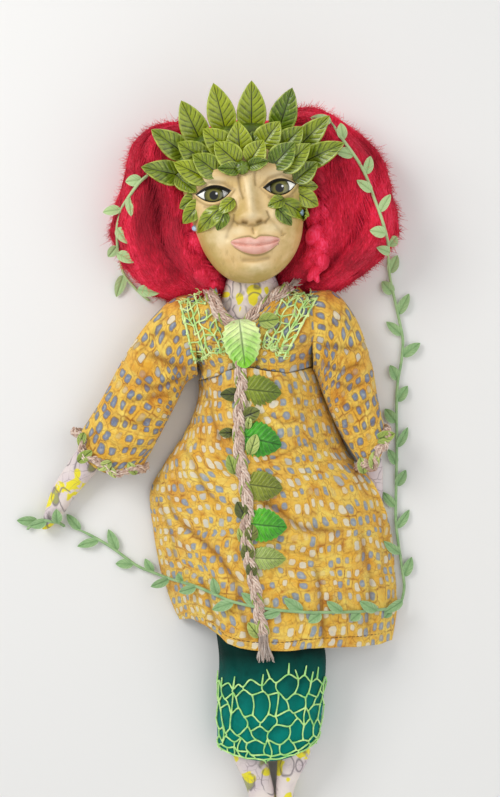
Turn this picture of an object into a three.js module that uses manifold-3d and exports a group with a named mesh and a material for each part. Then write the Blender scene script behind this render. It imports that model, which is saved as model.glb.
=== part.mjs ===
// Spirit doll lying on its back, in millimetres: face up (+Z), head toward +Y, feet toward -Y.
// +X is the doll's own left. The origin is on the floor, under the back of the tunic.
import * as THREE from 'three';
import { mergeVertices } from 'three/addons/utils/BufferGeometryUtils.js';
import Module from 'manifold-3d';

const wasm = await Module();
wasm.setup();

// Clearance between pieces that touch, and how far a cutter runs past what it cuts
const gap = 0.3;
const overrun = 5;

// Cloth
const cottonThick = 1.8;
const underskirtThick = 1.5;
const ease = 1.6;
const netCord = 1.3;
const netLift = 1.2;
const netStrandWidth = 1.5;

// Stuffed body
const hipDrop = 64;
const torsoLength = 216;
const chestWidth = 84;
const chestDepth = 48;
const neckWidth = 37;
const neckHeight = 24;
const legWidth = 39;
const legDepth = 48;
const legLength = 266;
const legSpread = 40;
const armLength = 207;
const armThick = 24;
const shoulderRadius = 13;
const shoulderHeight = 25;
const dowelRadius = 5;
const dowelLength = 96;

// Garments
const skirtLength = 230;
const skirtWidth = 200;
const skirtFold = 2.4;
const sleeveLength = 152;
const sleeveDepth = 44;
const cuffCordWidth = 8;
const cuffCordThick = 5;
const underskirtLength = 152;

// Head and its trimmings
const headWidth = 90;
const headLength = 110;
const headDepth = 48;
const faceWidth = 97;
const faceRelief = 36;
const maskRim = 18;
const eyeWidth = 25;
const eyeHeight = 13;
const eyeDepth = 9;
const beadDiameter = 7;
const crownLeafThick = 2;
const crownLeafWidth = 21;
const crownBand = 7;
const cheekLeafWidth = 12;
const hairDepth = 54;
const curlThick = 13;

// Twine, satin leaves and vines
const braidWidth = 11;
const braidThick = 6.5;
const neckTwineWidth = 10;
const satinThick = 1.2;
const satinLeafLength = 29;
const broochLength = 37;
const vineThick = 3.2;

// Colours
const palette = {
  wood: 0xc9a878,
  felt: 0xe8dfd0,
  print: 0xe6dcd8,
  skin: 0xcdb06a,
  eyeWhite: 0xf2efe6,
  bead: 0xb9cfe0,
  backLeaf: 0x7f8f2c,
  middleLeaf: 0x8b9a33,
  frontLeaf: 0x93a23a,
  button: 0x9aa842,
  cheekLeaf: 0x8f9d38,
  batik: 0xd8a43a,
  twine: 0xc2a58c,
  teal: 0x0f5f55,
  net: 0x86c46a,
  collarNet: 0x9ccb5e,
  woolDark: 0xa80f28,
  wool: 0xb8122e,
  curl: 0xc42148,
  tassel: 0xcdb29a,
  oliveSatin: 0x7a8c2e,
  greenSatin: 0x4aa52c,
  brooch: 0x7bc53a,
  vine: 0x86b089,
};

// Heights and places that follow from those sizes
const bodyLow = cottonThick + gap;
const hipY = -hipDrop;
const neckY = hipY + torsoLength;
const hipZ = bodyLow + legDepth / 2 + ease * 2;
const underskirtTop = hipZ + legDepth / 2 + gap + ease + underskirtThick;
const tunicTop = underskirtTop + gap + ease + cottonThick + skirtFold / 2;
const bodyX = chestWidth * 0.045;
const chestTop = bodyLow + chestDepth;
const bodiceTop = chestTop + gap + ease + cottonThick * 2;
const seamY = hipY + torsoLength * 0.74;
const shoulderY = hipY + torsoLength * 0.926;
const armSeam = cottonThick + ease + gap;
const rightSeamX = bodyX - chestWidth / 2 - armSeam - gap * 4;
const leftSeamX = bodyX + chestWidth / 2 + armSeam + ease * 4;
const headTilt = Math.PI / 51;
const headX = chestWidth * 0.103;
const headY = neckY + headLength * 0.567;
const headZ = bodyLow + headDepth / 2 + crownBand * 1.7;
const faceUnit = faceWidth / 2;

// Small helpers
const vec = (x, y, z) => new THREE.Vector3(x, y, z);
const mix = THREE.MathUtils.lerp;

function solidFrom(points, faces) {
  const corner = (index) => points[index];
  let volume = 0;
  for (const [a, b, c] of faces) {
    volume += corner(a).dot(vec(0, 0, 0).crossVectors(corner(b), corner(c)));
  }
  const ordered = volume < 0 ? faces.map(([a, b, c]) => [a, c, b]) : faces;
  const geometry = new THREE.BufferGeometry();
  geometry.setAttribute('position', new THREE.Float32BufferAttribute(points.flatMap((p) => p.toArray()), 3));
  geometry.setIndex(ordered.flat());
  return solidOf(geometry);
}

function solidOf(geometry) {
  const bare = geometry.clone();
  bare.deleteAttribute('normal');
  bare.deleteAttribute('uv');
  const merged = mergeVertices(bare, 1e-4);
  return new wasm.Manifold(new wasm.Mesh({
    numProp: 3,
    vertProperties: new Float32Array(merged.attributes.position.array),
    triVerts: new Uint32Array(merged.index.array),
  }));
}

function geometryOf(solid) {
  const mesh = solid.getMesh();
  const geometry = new THREE.BufferGeometry();
  geometry.setAttribute('position', new THREE.BufferAttribute(new Float32Array(mesh.vertProperties), 3));
  geometry.setIndex(new THREE.BufferAttribute(new Uint32Array(mesh.triVerts), 1));
  return geometry;
}

// The largest body, for a cut that leaves slivers
function mainBody(solid) {
  const bodies = solid.decompose();
  return bodies.reduce((best, body) => (body.volume() > best.volume() ? body : best));
}

const cut = (solid, ...others) => mainBody(others.reduce((left, other) => left.subtract(other), solid));
const fuse = (solids) => solids.reduce((left, other) => left.add(other));

// Height of the topmost surface of some solids over a point of the floor
function heightOver(solids) {
  const material = new THREE.MeshBasicMaterial({ side: THREE.DoubleSide });
  const meshes = solids.map((solid) => new THREE.Mesh(geometryOf(solid), material));
  const highest = tunicTop * 3;
  const ray = new THREE.Raycaster();
  return (x, y) => {
    ray.set(vec(x, y, highest), vec(0, 0, -1));
    const hit = ray.intersectObjects(meshes, false)[0];
    return hit ? hit.point.z : 0;
  };
}

// Skin through sections of equal count, with a fan over each end
function loft(sections, grow = 0) {
  const middle = (ring) => ring.reduce((sum, p) => sum.add(p), vec(0, 0, 0)).divideScalar(ring.length);
  const rings = sections.map((ring) => ring.map((p) => p.clone()));
  const last = rings.length - 1;
  const startPush = middle(rings[0]).sub(middle(rings[1])).setLength(grow);
  const endPush = middle(rings[last]).sub(middle(rings[last - 1])).setLength(grow);
  if (grow > 0) {
    rings[0].forEach((p) => p.add(startPush));
    rings[last].forEach((p) => p.add(endPush));
  }
  const sides = rings[0].length;
  const points = rings.flat();
  const faces = [];
  for (let row = 0; row < last; row += 1) {
    for (let side = 0; side < sides; side += 1) {
      const a = row * sides + side;
      const b = row * sides + (side + 1) % sides;
      faces.push([a, b, b + sides], [a, b + sides, a + sides]);
    }
  }
  const startHub = points.push(middle(rings[0])) - 1;
  const endHub = points.push(middle(rings[last])) - 1;
  for (let side = 0; side < sides; side += 1) {
    const next = (side + 1) % sides;
    faces.push([startHub, next, side], [endHub, last * sides + side, last * sides + next]);
  }
  return solidFrom(points, faces);
}

// Oval section between two edge points on plan, from a low to a high height
function ovalSection(edgeA, edgeB, low, high, grow, sides, power = 2.3) {
  const middleX = (edgeA[0] + edgeB[0]) / 2;
  const middleY = (edgeA[1] + edgeB[1]) / 2;
  const span = Math.hypot(edgeB[0] - edgeA[0], edgeB[1] - edgeA[1]);
  const reach = (span / 2 + grow) / span;
  const ring = [];
  for (let side = 0; side < sides; side += 1) {
    const angle = (side / sides) * Math.PI * 2;
    const across = Math.sign(Math.cos(angle)) * Math.abs(Math.cos(angle)) ** (2 / power);
    const up = Math.sign(Math.sin(angle)) * Math.abs(Math.sin(angle)) ** (2 / power);
    ring.push(vec(
      middleX + (edgeB[0] - edgeA[0]) * reach * across,
      middleY + (edgeB[1] - edgeA[1]) * reach * across,
      (low + high) / 2 + ((high - low) / 2 + grow) * up,
    ));
  }
  return ring;
}

// Cloth section lying on the floor: flat back, upright side edges and a bell-shaped front
const frontCount = 16;
const backCount = 4;

function clothPoint(row, share, grow) {
  const centre = row.centre;
  const side = share < 0 ? centre - row.left[0] + grow : row.right[0] - centre + grow;
  const yShare = (share + 1) / 2;
  const bell = (1 - Math.abs(share) ** row.wide) ** row.steep;
  const foldShape = Math.cos(share * 15 + 1) * (1 - Math.abs(share) ** 6) * bell;
  return vec(
    centre + share * side,
    mix(row.left[1], row.right[1], yShare) - row.bow * (1 - share * share),
    row.edge + (row.top + grow - row.edge) * bell + row.fold * foldShape,
  );
}

function clothSection(row, grow) {
  const ring = [];
  for (let step = 0; step <= frontCount; step += 1) {
    ring.push(clothPoint(row, Math.cos((step / frontCount) * Math.PI), grow));
  }
  for (let step = 0; step <= backCount; step += 1) {
    const point = clothPoint(row, -1 + (2 * step) / backCount, grow);
    ring.push(vec(point.x, point.y, row.low - grow));
  }
  return ring;
}

// A row between two table rows, for things laid on a garment
function rowBetween(rows, share) {
  const place = Math.min(share, 1) * (rows.length - 1);
  const index = Math.min(Math.floor(place), rows.length - 2);
  const part = place - index;
  const [a, b] = [rows[index], rows[index + 1]];
  const result = { wide: a.wide, steep: a.steep };
  for (const key of ['centre', 'low', 'edge', 'top', 'bow', 'fold']) {
    result[key] = mix(a[key], b[key], part);
  }
  for (const key of ['left', 'right']) {
    result[key] = [mix(a[key][0], b[key][0], part), mix(a[key][1], b[key][1], part)];
  }
  return result;
}

// Tube of oval section along points, with square ends
function twine(points, width, thick, grow, sides) {
  const sections = points.map((point, index) => {
    const before = points[Math.max(index - 1, 0)];
    const after = points[Math.min(index + 1, points.length - 1)];
    const along = after.clone().sub(before).normalize();
    const flat = Math.abs(along.z) > 0.95 ? vec(1, 0, 0) : vec(0, 0, 1);
    const across = vec(0, 0, 0).crossVectors(along, flat).normalize();
    const up = vec(0, 0, 0).crossVectors(across, along);
    return Array.from({ length: sides }, (_, side) => {
      const angle = (side / sides) * Math.PI * 2;
      return point.clone()
        .addScaledVector(across, Math.cos(angle) * (width / 2 + grow))
        .addScaledVector(up, Math.sin(angle) * (thick / 2 + grow));
    });
  });
  return loft(sections, grow);
}

function smoothPath(points, steps) {
  return new THREE.CatmullRomCurve3(points, false, 'centripetal').getSpacedPoints(steps);
}

// Creased leaf from its base to its tip: rows of three points, top and underside
const leafWidthShares = [0.35, 0.95, 0.95, 0.55, 0.06];

function leaf({ base, tip, width, thick, crease, arch, up = vec(0, 0, 1) }, grow = 0) {
  const along = tip.clone().sub(base);
  const reach = along.length();
  along.normalize();
  const across = vec(0, 0, 0).crossVectors(along, up).normalize();
  const lift = vec(0, 0, 0).crossVectors(across, along);
  const rows = leafWidthShares.length;
  const points = [];
  for (const side of [1, -1]) {
    leafWidthShares.forEach((share, row) => {
      const step = row / (rows - 1);
      const forward = mix(-grow, reach + grow, step);
      const half = (share * width) / 2 + grow;
      const height = arch * Math.sin(step * Math.PI) + side * (thick / 2 + grow);
      for (const column of [-1, 0, 1]) {
        points.push(base.clone()
          .addScaledVector(along, forward)
          .addScaledVector(across, column * half)
          .addScaledVector(lift, height - (column === 0 ? crease * share : 0)));
      }
    });
  }
  const faces = [];
  const under = rows * 3;
  const quad = (a, b, c, d) => faces.push([a, b, c], [a, c, d]);
  for (let row = 0; row < rows - 1; row += 1) {
    for (let column = 0; column < 2; column += 1) {
      const a = row * 3 + column;
      quad(a, a + 1, a + 4, a + 3);
      quad(under + a, under + a + 3, under + a + 4, under + a + 1);
    }
    const left = row * 3;
    quad(left, left + 3, under + left + 3, under + left);
    quad(left + 2, under + left + 2, under + left + 5, left + 5);
  }
  const end = (rows - 1) * 3;
  for (let column = 0; column < 2; column += 1) {
    quad(column, under + column, under + column + 1, column + 1);
    quad(end + column, end + column + 1, under + end + column + 1, under + end + column);
  }
  return solidFrom(points, faces);
}

// Flat net of four-sided meshes laid on a surface: place(u, v, lift) gives a point of it
function net(place, columns, rows, cellShare) {
  const points = [];
  const index = (column, row) => row * (columns + 1) + column;
  const knots = [];
  for (let row = 0; row <= rows; row += 1) {
    for (let column = 0; column <= columns; column += 1) {
      const inner = column > 0 && column < columns && row > 0 && row < rows ? 1 : 0;
      const wave = inner * cellShare;
      knots.push([
        (column + wave * Math.sin(column * 2.1 + row * 3.7)) / columns,
        (row + wave * Math.cos(column * 3.3 + row * 1.9)) / rows,
      ]);
    }
  }
  const middleLift = netLift + netCord / 2;
  for (const lift of [netLift, netLift + netCord]) {
    knots.forEach(([u, v]) => points.push(place(u, v, lift)));
  }
  const level = knots.length;
  const faces = [];
  const quad = (a, b, c, d) => faces.push([a, b, c], [a, c, d]);
  for (let row = 0; row < rows; row += 1) {
    for (let column = 0; column < columns; column += 1) {
      const corners = [[column, row], [column + 1, row], [column + 1, row + 1], [column, row + 1]]
        .map(([c, r]) => index(c, r));
      const middle = corners.reduce((sum, k) => [sum[0] + knots[k][0] / 4, sum[1] + knots[k][1] / 4], [0, 0]);
      const centre = place(middle[0], middle[1], middleLift);
      const holes = [[], []];
      corners.forEach((k) => {
        const knot = place(knots[k][0], knots[k][1], middleLift);
        const inset = Math.min((netStrandWidth * 0.75) / knot.distanceTo(centre), 0.4);
        const u = mix(knots[k][0], middle[0], inset);
        const v = mix(knots[k][1], middle[1], inset);
        holes[0].push(points.push(place(u, v, netLift)) - 1);
        holes[1].push(points.push(place(u, v, netLift + netCord)) - 1);
      });
      for (let side = 0; side < 4; side += 1) {
        const next = (side + 1) % 4;
        quad(corners[side] + level, corners[next] + level, holes[1][next], holes[1][side]);
        quad(corners[next], corners[side], holes[0][side], holes[0][next]);
        quad(holes[1][side], holes[1][next], holes[0][next], holes[0][side]);
      }
    }
  }
  const rim = [];
  for (let column = 0; column < columns; column += 1) rim.push([index(column, 0), index(column + 1, 0)]);
  for (let row = 0; row < rows; row += 1) rim.push([index(columns, row), index(columns, row + 1)]);
  for (let column = columns; column > 0; column -= 1) {
    rim.push([index(column, rows), index(column - 1, rows)]);
  }
  for (let row = rows; row > 0; row -= 1) rim.push([index(0, row), index(0, row - 1)]);
  rim.forEach(([a, b]) => quad(b + level, a + level, a, b));
  return solidFrom(points, faces);
}

function ellipsoid(centre, radii, grow, sides = 24, rings = 14) {
  const sphere = new THREE.SphereGeometry(1, sides, rings);
  sphere.scale(radii.x + grow, radii.y + grow, radii.z + grow);
  sphere.rotateZ(headTilt);
  sphere.translate(centre.x, centre.y, centre.z);
  return solidOf(sphere);
}

// Stuffed body. Rows: place along the torso, half width, top, all as shares; the neck stands off the floor
const torsoShares = [
  [0.13, 0.95, 0.98], [0.2, 1, 1], [0.36, 0.88, 0.98], [0.56, 0.8, 0.95],
  [0.72, 0.88, 0.97], [0.86, 0.97, 0.97], [0.926, 1, 0.93], [0.975, 0.74, 0.86],
];
const neckLowShare = 0.2;
const neckTopShare = 0.93;
const neckCentreShare = 0.1;

function torsoForm(grow) {
  const sections = torsoShares.map(([along, width, top], index) => {
    const y = index === 0 ? hipY + legDepth / 2 + gap * 2 : hipY + torsoLength * along;
    const half = (chestWidth / 2) * width;
    const low = bodyLow + (index === torsoShares.length - 1 ? chestDepth * neckLowShare / 2 : 0);
    return ovalSection([bodyX - half, y], [bodyX + half, y], low, bodyLow + chestDepth * top, grow, 18, 2.6);
  });
  const neckX = bodyX * neckCentreShare;
  for (const y of [neckY + neckHeight / 4, neckY + neckHeight]) {
    const edges = [[neckX - neckWidth / 2, y], [neckX + neckWidth / 2, y]];
    const low = bodyLow + chestDepth * neckLowShare;
    sections.push(ovalSection(...edges, low, chestTop * neckTopShare, grow, 18, 2.2));
  }
  return loft(sections, grow);
}

function dowelForm(grow) {
  const rod = new THREE.CylinderGeometry(dowelRadius + grow, dowelRadius + grow, dowelLength + grow * 2, 16);
  rod.translate(bodyX * neckCentreShare, neckY + neckHeight / 4, bodyLow + chestDepth * 0.55);
  return solidOf(rod);
}

// Head places are shares of half the face width, from the nose tip, on the tilted head
function headPoint(across, along, z) {
  const x = across * faceUnit;
  const y = along * faceUnit;
  return vec(
    headX + x * Math.cos(headTilt) - y * Math.sin(headTilt),
    headY + x * Math.sin(headTilt) + y * Math.cos(headTilt),
    z,
  );
}

const coreCentreShares = [-0.04, 0.2];

function coreForm(grow) {
  const [across, along] = coreCentreShares;
  const radii = vec(headWidth / 2, headLength / 2, headDepth / 2);
  return ellipsoid(headPoint(across, along, headZ), radii, grow, 18, 10);
}

// Half widths of the clay mask from chin to forehead: place along, left edge, right edge
const maskShares = [
  [-1.04, -0.16, 0.06], [-0.98, -0.38, 0.24], [-0.86, -0.55, 0.44], [-0.68, -0.7, 0.62], [-0.42, -0.83, 0.77],
  [-0.1, -0.92, 0.85], [0.25, -1, 0.92], [0.6, -1.05, 0.94], [0.95, -1.02, 0.93], [1.2, -0.9, 0.82],
  [1.38, -0.66, 0.58], [1.48, -0.36, 0.28],
];
const maskColumnShares = [
  -1, -0.95, -0.78, -0.56, -0.36, -0.22, -0.11, 0, 0.11, 0.22, 0.36, 0.56, 0.78, 0.95, 1,
];
const maskRows = 19;
const maskLow = headZ;
const maskEdge = maskLow + maskRim;

function bump(across, along, atAcross, atAlong, wide, tall) {
  return Math.exp(-(((across - atAcross) / wide) ** 2) - ((along - atAlong) / tall) ** 2);
}

// Features of the face: rise, centre across and along, spread across and along
const featureShares = [
  [0.3, 0, 0.02, 0.13, 0.13], [0.17, 0, 0.3, 0.1, 0.3],
  [0.1, -0.17, -0.02, 0.1, 0.1], [0.1, 0.17, -0.02, 0.1, 0.1],
  [0.13, 0, -0.38, 0.3, 0.06], [0.14, 0, -0.54, 0.24, 0.07],
  [-0.16, -0.55, 0.4, 0.3, 0.17], [-0.16, 0.52, 0.4, 0.3, 0.17],
  [0.06, -0.5, -0.1, 0.25, 0.25], [0.06, 0.48, -0.1, 0.25, 0.25],
  [0.12, -0.04, -0.85, 0.25, 0.14],
  [0.08, -0.5, 0.66, 0.35, 0.12], [0.08, 0.46, 0.66, 0.35, 0.12],
];

// Height of the modelled face above the mask's rim, as a share of its relief
function faceHeight(across, along, edgeShare) {
  const dome = 0.88 * (1 - Math.abs(edgeShare) ** 2.4) ** 0.55;
  const chinFall = 0.42 * Math.max(0, (-0.55 - along) / 0.5) ** 2;
  const browFall = 0.3 * Math.max(0, (along - 0.7) / 0.8) ** 2;
  return featureShares.reduce(
    (height, [rise, ...place]) => height + rise * bump(across, along, ...place),
    dome * (1 - chinFall - browFall),
  );
}

function maskEdges(along) {
  const next = Math.max(1, maskShares.findIndex(([place]) => place >= along));
  const [a, b] = [maskShares[next - 1], maskShares[next]];
  const part = THREE.MathUtils.clamp((along - a[0]) / (b[0] - a[0]), 0, 1);
  return [mix(a[1], b[1], part), mix(a[2], b[2], part)];
}

function maskForm(grow) {
  const start = maskShares[0][0];
  const finish = maskShares[maskShares.length - 1][0];
  const growShare = grow / faceUnit;
  const columns = maskColumnShares.length;
  const points = [];
  const faces = [];
  for (const level of [1, 0]) {
    for (let row = 0; row < maskRows; row += 1) {
      const step = 0.5 - Math.cos((row / (maskRows - 1)) * Math.PI) / 2;
      const along = mix(start, finish, mix(row / (maskRows - 1), step, 0.5));
      const [left, right] = maskEdges(along);
      const end = row === 0 || row === maskRows - 1 ? 0 : 1;
      const push = end ? 0 : growShare * Math.sign(row - 1);
      maskColumnShares.forEach((share) => {
        const across = mix(left - growShare, right + growShare, (share + 1) / 2);
        const height = end * faceRelief * faceHeight(across, along, share);
        const z = level ? maskEdge + grow + height : maskLow - grow;
        points.push(headPoint(across, along + push, z));
      });
    }
  }
  const under = maskRows * columns;
  const quad = (a, b, c, d) => faces.push([a, b, c], [a, c, d]);
  for (let row = 0; row < maskRows - 1; row += 1) {
    for (let column = 0; column < columns - 1; column += 1) {
      const a = row * columns + column;
      quad(a, a + 1, a + columns + 1, a + columns);
      quad(under + a, under + a + columns, under + a + columns + 1, under + a + 1);
    }
    const left = row * columns;
    const right = left + columns - 1;
    quad(left, left + columns, under + left + columns, under + left);
    quad(right, under + right, under + right + columns, right + columns);
  }
  const top = (maskRows - 1) * columns;
  for (let column = 0; column < columns - 1; column += 1) {
    quad(column, under + column, under + column + 1, column + 1);
    quad(top + column, top + column + 1, under + top + column + 1, under + top + column);
  }
  return solidFrom(points, faces);
}

const eyeShares = { right: [-0.55, 0.4], left: [0.52, 0.41] };
const beadShares = { right: [-0.9, -0.06], left: [0.79, -0.01] };
const eyeSeat = maskEdge + faceRelief * 0.62;

function eyeForm(side, grow) {
  const [across, along] = eyeShares[side];
  const radii = vec(eyeWidth / 2, eyeHeight / 2, eyeDepth / 2);
  return ellipsoid(headPoint(across, along, eyeSeat), radii, grow, 14, 8);
}

// Bodice and skirt rows on the floor
const bodiceShares = [
  // place from seam to neck edge, left and right edge between the arm seams, top
  [0, 0.04, 0.97, 1], [0.25, 0.02, 0.985, 1], [0.52, 0, 1, 0.98], [0.8, 0, 1, 0.93], [0.93, 0.03, 0.97, 0.9],
  [1, 0.12, 0.88, 0.86],
];
const bodiceLength = torsoLength * 0.31;

const bodiceRows = bodiceShares.map(([along, left, right, top]) => {
  const y = seamY + gap + bodiceLength * along;
  return {
    centre: bodyX,
    left: [mix(rightSeamX, leftSeamX, left), y],
    right: [mix(rightSeamX, leftSeamX, right), y],
    low: 0,
    edge: bodiceTop * 0.34,
    top: bodiceTop * top,
    bow: 0,
    fold: 0,
    wide: 2.6,
    steep: 0.55,
  };
});
const bodiceForm = (grow) => loft(bodiceRows.map((row) => clothSection(row, grow)), grow);

const skirtShares = [
  // left edge: place down, across; right edge: place down, across; top; bow; fold; edge heights
  [0, -0.215, 0, 0.275, 0.93, 0, 0, 0.3],
  [0.148, -0.24, 0.148, 0.305, 0.95, 0, 0.2, 0.2],
  [0.309, -0.32, 0.309, 0.37, 0.98, 0, 0.4, 0.16],
  [0.417, -0.405, 0.4, 0.44, 1, 0, 0.5, 0.15],
  [0.483, -0.42, 0.483, 0.52, 1, 0, 0.6, 0.15],
  [0.609, -0.415, 0.609, 0.545, 1, 0, 0.75, 0.13],
  [0.73, -0.38, 0.765, 0.555, 0.97, 0.02, 0.9, 0.11],
  [0.82, -0.345, 0.885, 0.555, 0.9, 0.045, 1, 0.1],
  [0.87, -0.325, 0.965, 0.545, 0.85, 0.078, 1, 0.1],
];

const skirtRows = skirtShares.map(([downLeft, left, downRight, right, top, bow, fold, edge]) => ({
  centre: bodyX,
  left: [skirtWidth * left, seamY - skirtLength * downLeft],
  right: [skirtWidth * right, seamY - skirtLength * downRight],
  low: 0,
  edge: tunicTop * edge,
  top: tunicTop * top,
  bow: skirtLength * bow,
  fold: skirtFold * fold,
  wide: 2.3,
  steep: 0.8,
}));
const skirtForm = (grow) => loft(skirtRows.map((row) => clothSection(row, grow)), grow);

// The hollow inside a garment, running past both of its open ends
function hollowOf(rows, thick) {
  const sections = rows.map((row) => clothSection(row, -thick));
  const first = sections[0].map((p) => p.clone().add(vec(0, overrun, 0)));
  const last = sections[sections.length - 1].map((p) => p.clone().add(vec(0, -overrun, 0)));
  return loft([first, ...sections, last]);
}

const underskirtShares = [
  // down from the hip, left and right edge as shares of the leg width, top, bow
  [0.08, -1.06, 1.06, 1, 0], [0.3, -1.02, 1.08, 0.98, 0], [0.48, -0.98, 1.24, 0.93, 0],
  [0.7, -1.06, 1.16, 0.83, 0], [0.9, -1.1, 1.03, 0.73, 0.03], [0.94, -1.09, 0.94, 0.7, 0.07],
];
const underskirtRows = underskirtShares.map(([down, left, right, top, bow]) => {
  const y = hipY - underskirtLength * down;
  return {
    centre: bodyX * 0.8,
    left: [bodyX + legWidth * left, y],
    right: [bodyX + legWidth * right, y],
    low: bodyLow,
    edge: underskirtTop * 0.42 * top,
    top: underskirtTop * top,
    bow: underskirtLength * bow,
    fold: 0,
    wide: 2.8,
    steep: 0.5,
  };
});
const underskirtForm = (grow) => loft(underskirtRows.map((row) => clothSection(row, grow)), grow);

// Legs: place down the leg, centre across as a share of the spread, width, low, high
const legTopShares = [0.97, 0.8, 0.45, 0];
const legShares = {
  right: [[0.17, -0.47, 0.97, 0.03, 0.97], [0.27, -0.44, 0.88, 0.03, 0.88], [0.37, -0.44, 0.8, 0.01, 0.75],
    [0.49, -0.42, 0.74, 0, 0.66], [0.58, -0.42, 0.69, -0.02, 0.56], [0.7, -0.23, 0.54, -0.06, 0.42],
    [0.84, -0.24, 0.5, -0.1, 0.4], [0.91, -0.25, 0.5, -0.15, 0.55], [0.96, -0.26, 0.55, -0.16, 0.78],
    [1, -0.26, 0.44, -0.13, 0.7]],
  left: [[0.17, 0.47, 0.97, 0.03, 0.97], [0.27, 0.44, 0.88, 0.03, 0.88], [0.37, 0.45, 0.8, 0.01, 0.75],
    [0.49, 0.46, 0.72, 0, 0.66], [0.58, 0.46, 0.68, -0.02, 0.56], [0.7, 0.24, 0.37, -0.06, 0.4],
    [0.84, 0.26, 0.4, -0.1, 0.38], [0.91, 0.3, 0.46, -0.15, 0.52], [0.96, 0.31, 0.5, -0.16, 0.72],
    [1, 0.31, 0.4, -0.13, 0.64]],
};

function legForm(side, grow) {
  const sign = side === 'right' ? -1 : 1;
  const hipX = bodyX + sign * legSpread / 2;
  const radius = legDepth / 2;
  const sections = legTopShares.map((share) => {
    const y = hipY + radius * share;
    const round = Math.sqrt(1 - share * share);
    const half = (legWidth / 2) * mix(0.72, 0.97, round);
    const [low, high] = [hipZ - radius * round, hipZ + radius * round];
    return ovalSection([hipX - half, y], [hipX + half, y], low, high, grow, 14);
  });
  for (const [down, across, width, low, high] of legShares[side]) {
    const x = bodyX + legSpread * across;
    const half = (legWidth / 2) * width;
    const y = hipY - legLength * down;
    const bottom = Math.max(hipZ - radius + legDepth * low, 0);
    const top = hipZ - radius + legDepth * high;
    sections.push(ovalSection([x - half, y], [x + half, y], bottom, top, grow, 14));
  }
  return loft(sections, grow);
}

// Arms: outer and inner edge as shares of the length from the shoulder, low and high of the thickness
const armShares = {
  right: [[-0.075, 0.045, -0.05, -0.07, 0.15, 1.15], [-0.14, -0.04, -0.07, -0.15, 0.13, 1.1],
    [-0.3, -0.245, -0.21, -0.33, 0.12, 1], [-0.455, -0.468, -0.385, -0.56, 0.12, 0.86],
    [-0.535, -0.59, -0.48, -0.68, 0.1, 0.75], [-0.575, -0.66, -0.52, -0.735, 0.03, 0.64],
    [-0.6, -0.735, -0.565, -0.765, 0.01, 0.5], [-0.613, -0.776, -0.6, -0.785, 0.03, 0.3]],
  left: [[0.07, 0.045, 0.05, -0.07, 0.15, 1.15], [0.15, -0.05, 0.055, -0.11, 0.13, 1.1],
    [0.19, -0.27, 0.095, -0.31, 0.12, 1], [0.216, -0.46, 0.118, -0.5, 0.12, 0.86],
    [0.235, -0.59, 0.15, -0.61, 0.06, 0.6], [0.235, -0.7, 0.17, -0.71, 0, 0.4],
    [0.235, -0.83, 0.18, -0.835, 0, 0.38], [0.225, -0.91, 0.195, -0.912, 0.03, 0.3]],
};

const armSides = 16;

function armForm(side, grow) {
  const sign = side === 'right' ? -1 : 1;
  const seamX = side === 'right' ? rightSeamX : leftSeamX;
  const bodySide = bodyX + sign * (chestWidth / 2 + gap);
  const radius = shoulderRadius + grow;
  const rootPlaces = [bodySide - sign * grow, seamX + sign * gap, seamX + sign * (gap + ease)];
  const root = rootPlaces.map((x) => Array.from({ length: armSides }, (_, index) => {
    const angle = (index / armSides) * Math.PI * 2;
    return vec(x, shoulderY + Math.cos(angle) * radius, shoulderHeight + Math.sin(angle) * radius);
  }));
  const sections = armShares[side].map(([outX, outY, inX, inY, low, high]) => {
    const outer = [seamX + armLength * outX, shoulderY + armLength * outY];
    const inner = [seamX + armLength * inX, shoulderY + armLength * inY];
    return ovalSection(inner, outer, armThick * low, armThick * high, grow, armSides);
  });
  return loft([...root, ...sections], grow);
}

// Sleeves: outer edge, inner edge as shares of the sleeve length from the shoulder seam, low, high
const sleeveShares = {
  right: [[0, 0.145, 0, -0.275, 0, 1], [-0.09, 0.13, -0.02, -0.33, 0, 0.98],
    [-0.29, -0.09, -0.09, -0.48, 0, 0.84], [-0.48, -0.4, -0.19, -0.62, 0.04, 0.76],
    [-0.625, -0.57, -0.295, -0.87, 0.13, 0.72]],
  left: [[0, 0.145, 0, -0.275, 0, 1], [0.1, 0.12, 0.005, -0.33, 0, 0.98], [0.2, 0.02, 0.025, -0.43, 0, 0.9],
    [0.275, -0.22, 0.065, -0.58, 0.02, 0.8], [0.315, -0.6, 0.2, -0.8, 0.13, 0.66]],
};

function sleeveSections(side, grow) {
  const sign = side === 'right' ? -1 : 1;
  const seamX = (side === 'right' ? rightSeamX : leftSeamX) + sign * gap;
  return sleeveShares[side].map(([outX, outY, inX, inY, low, high]) => {
    const outer = [seamX + sleeveLength * outX, shoulderY + sleeveLength * outY];
    const inner = [seamX + sleeveLength * inX, shoulderY + sleeveLength * inY];
    return ovalSection(inner, outer, sleeveDepth * low, sleeveDepth * high, grow, 18, 2.5);
  });
}

const sleeveForm = (side, grow) => loft(sleeveSections(side, grow), grow);

function sleeveHollow(side) {
  const sections = sleeveSections(side, -cottonThick);
  const count = sections.length;
  const middle = (ring) => ring.reduce((sum, p) => sum.add(p), vec(0, 0, 0)).divideScalar(ring.length);
  const out = middle(sections[count - 1]).sub(middle(sections[count - 2])).setLength(overrun);
  const back = vec(side === 'right' ? overrun : -overrun, 0, 0);
  const first = sections[0].map((p) => p.clone().add(back));
  const last = sections[count - 1].map((p) => p.clone().add(out));
  return loft([first, ...sections, last]);
}

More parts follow.
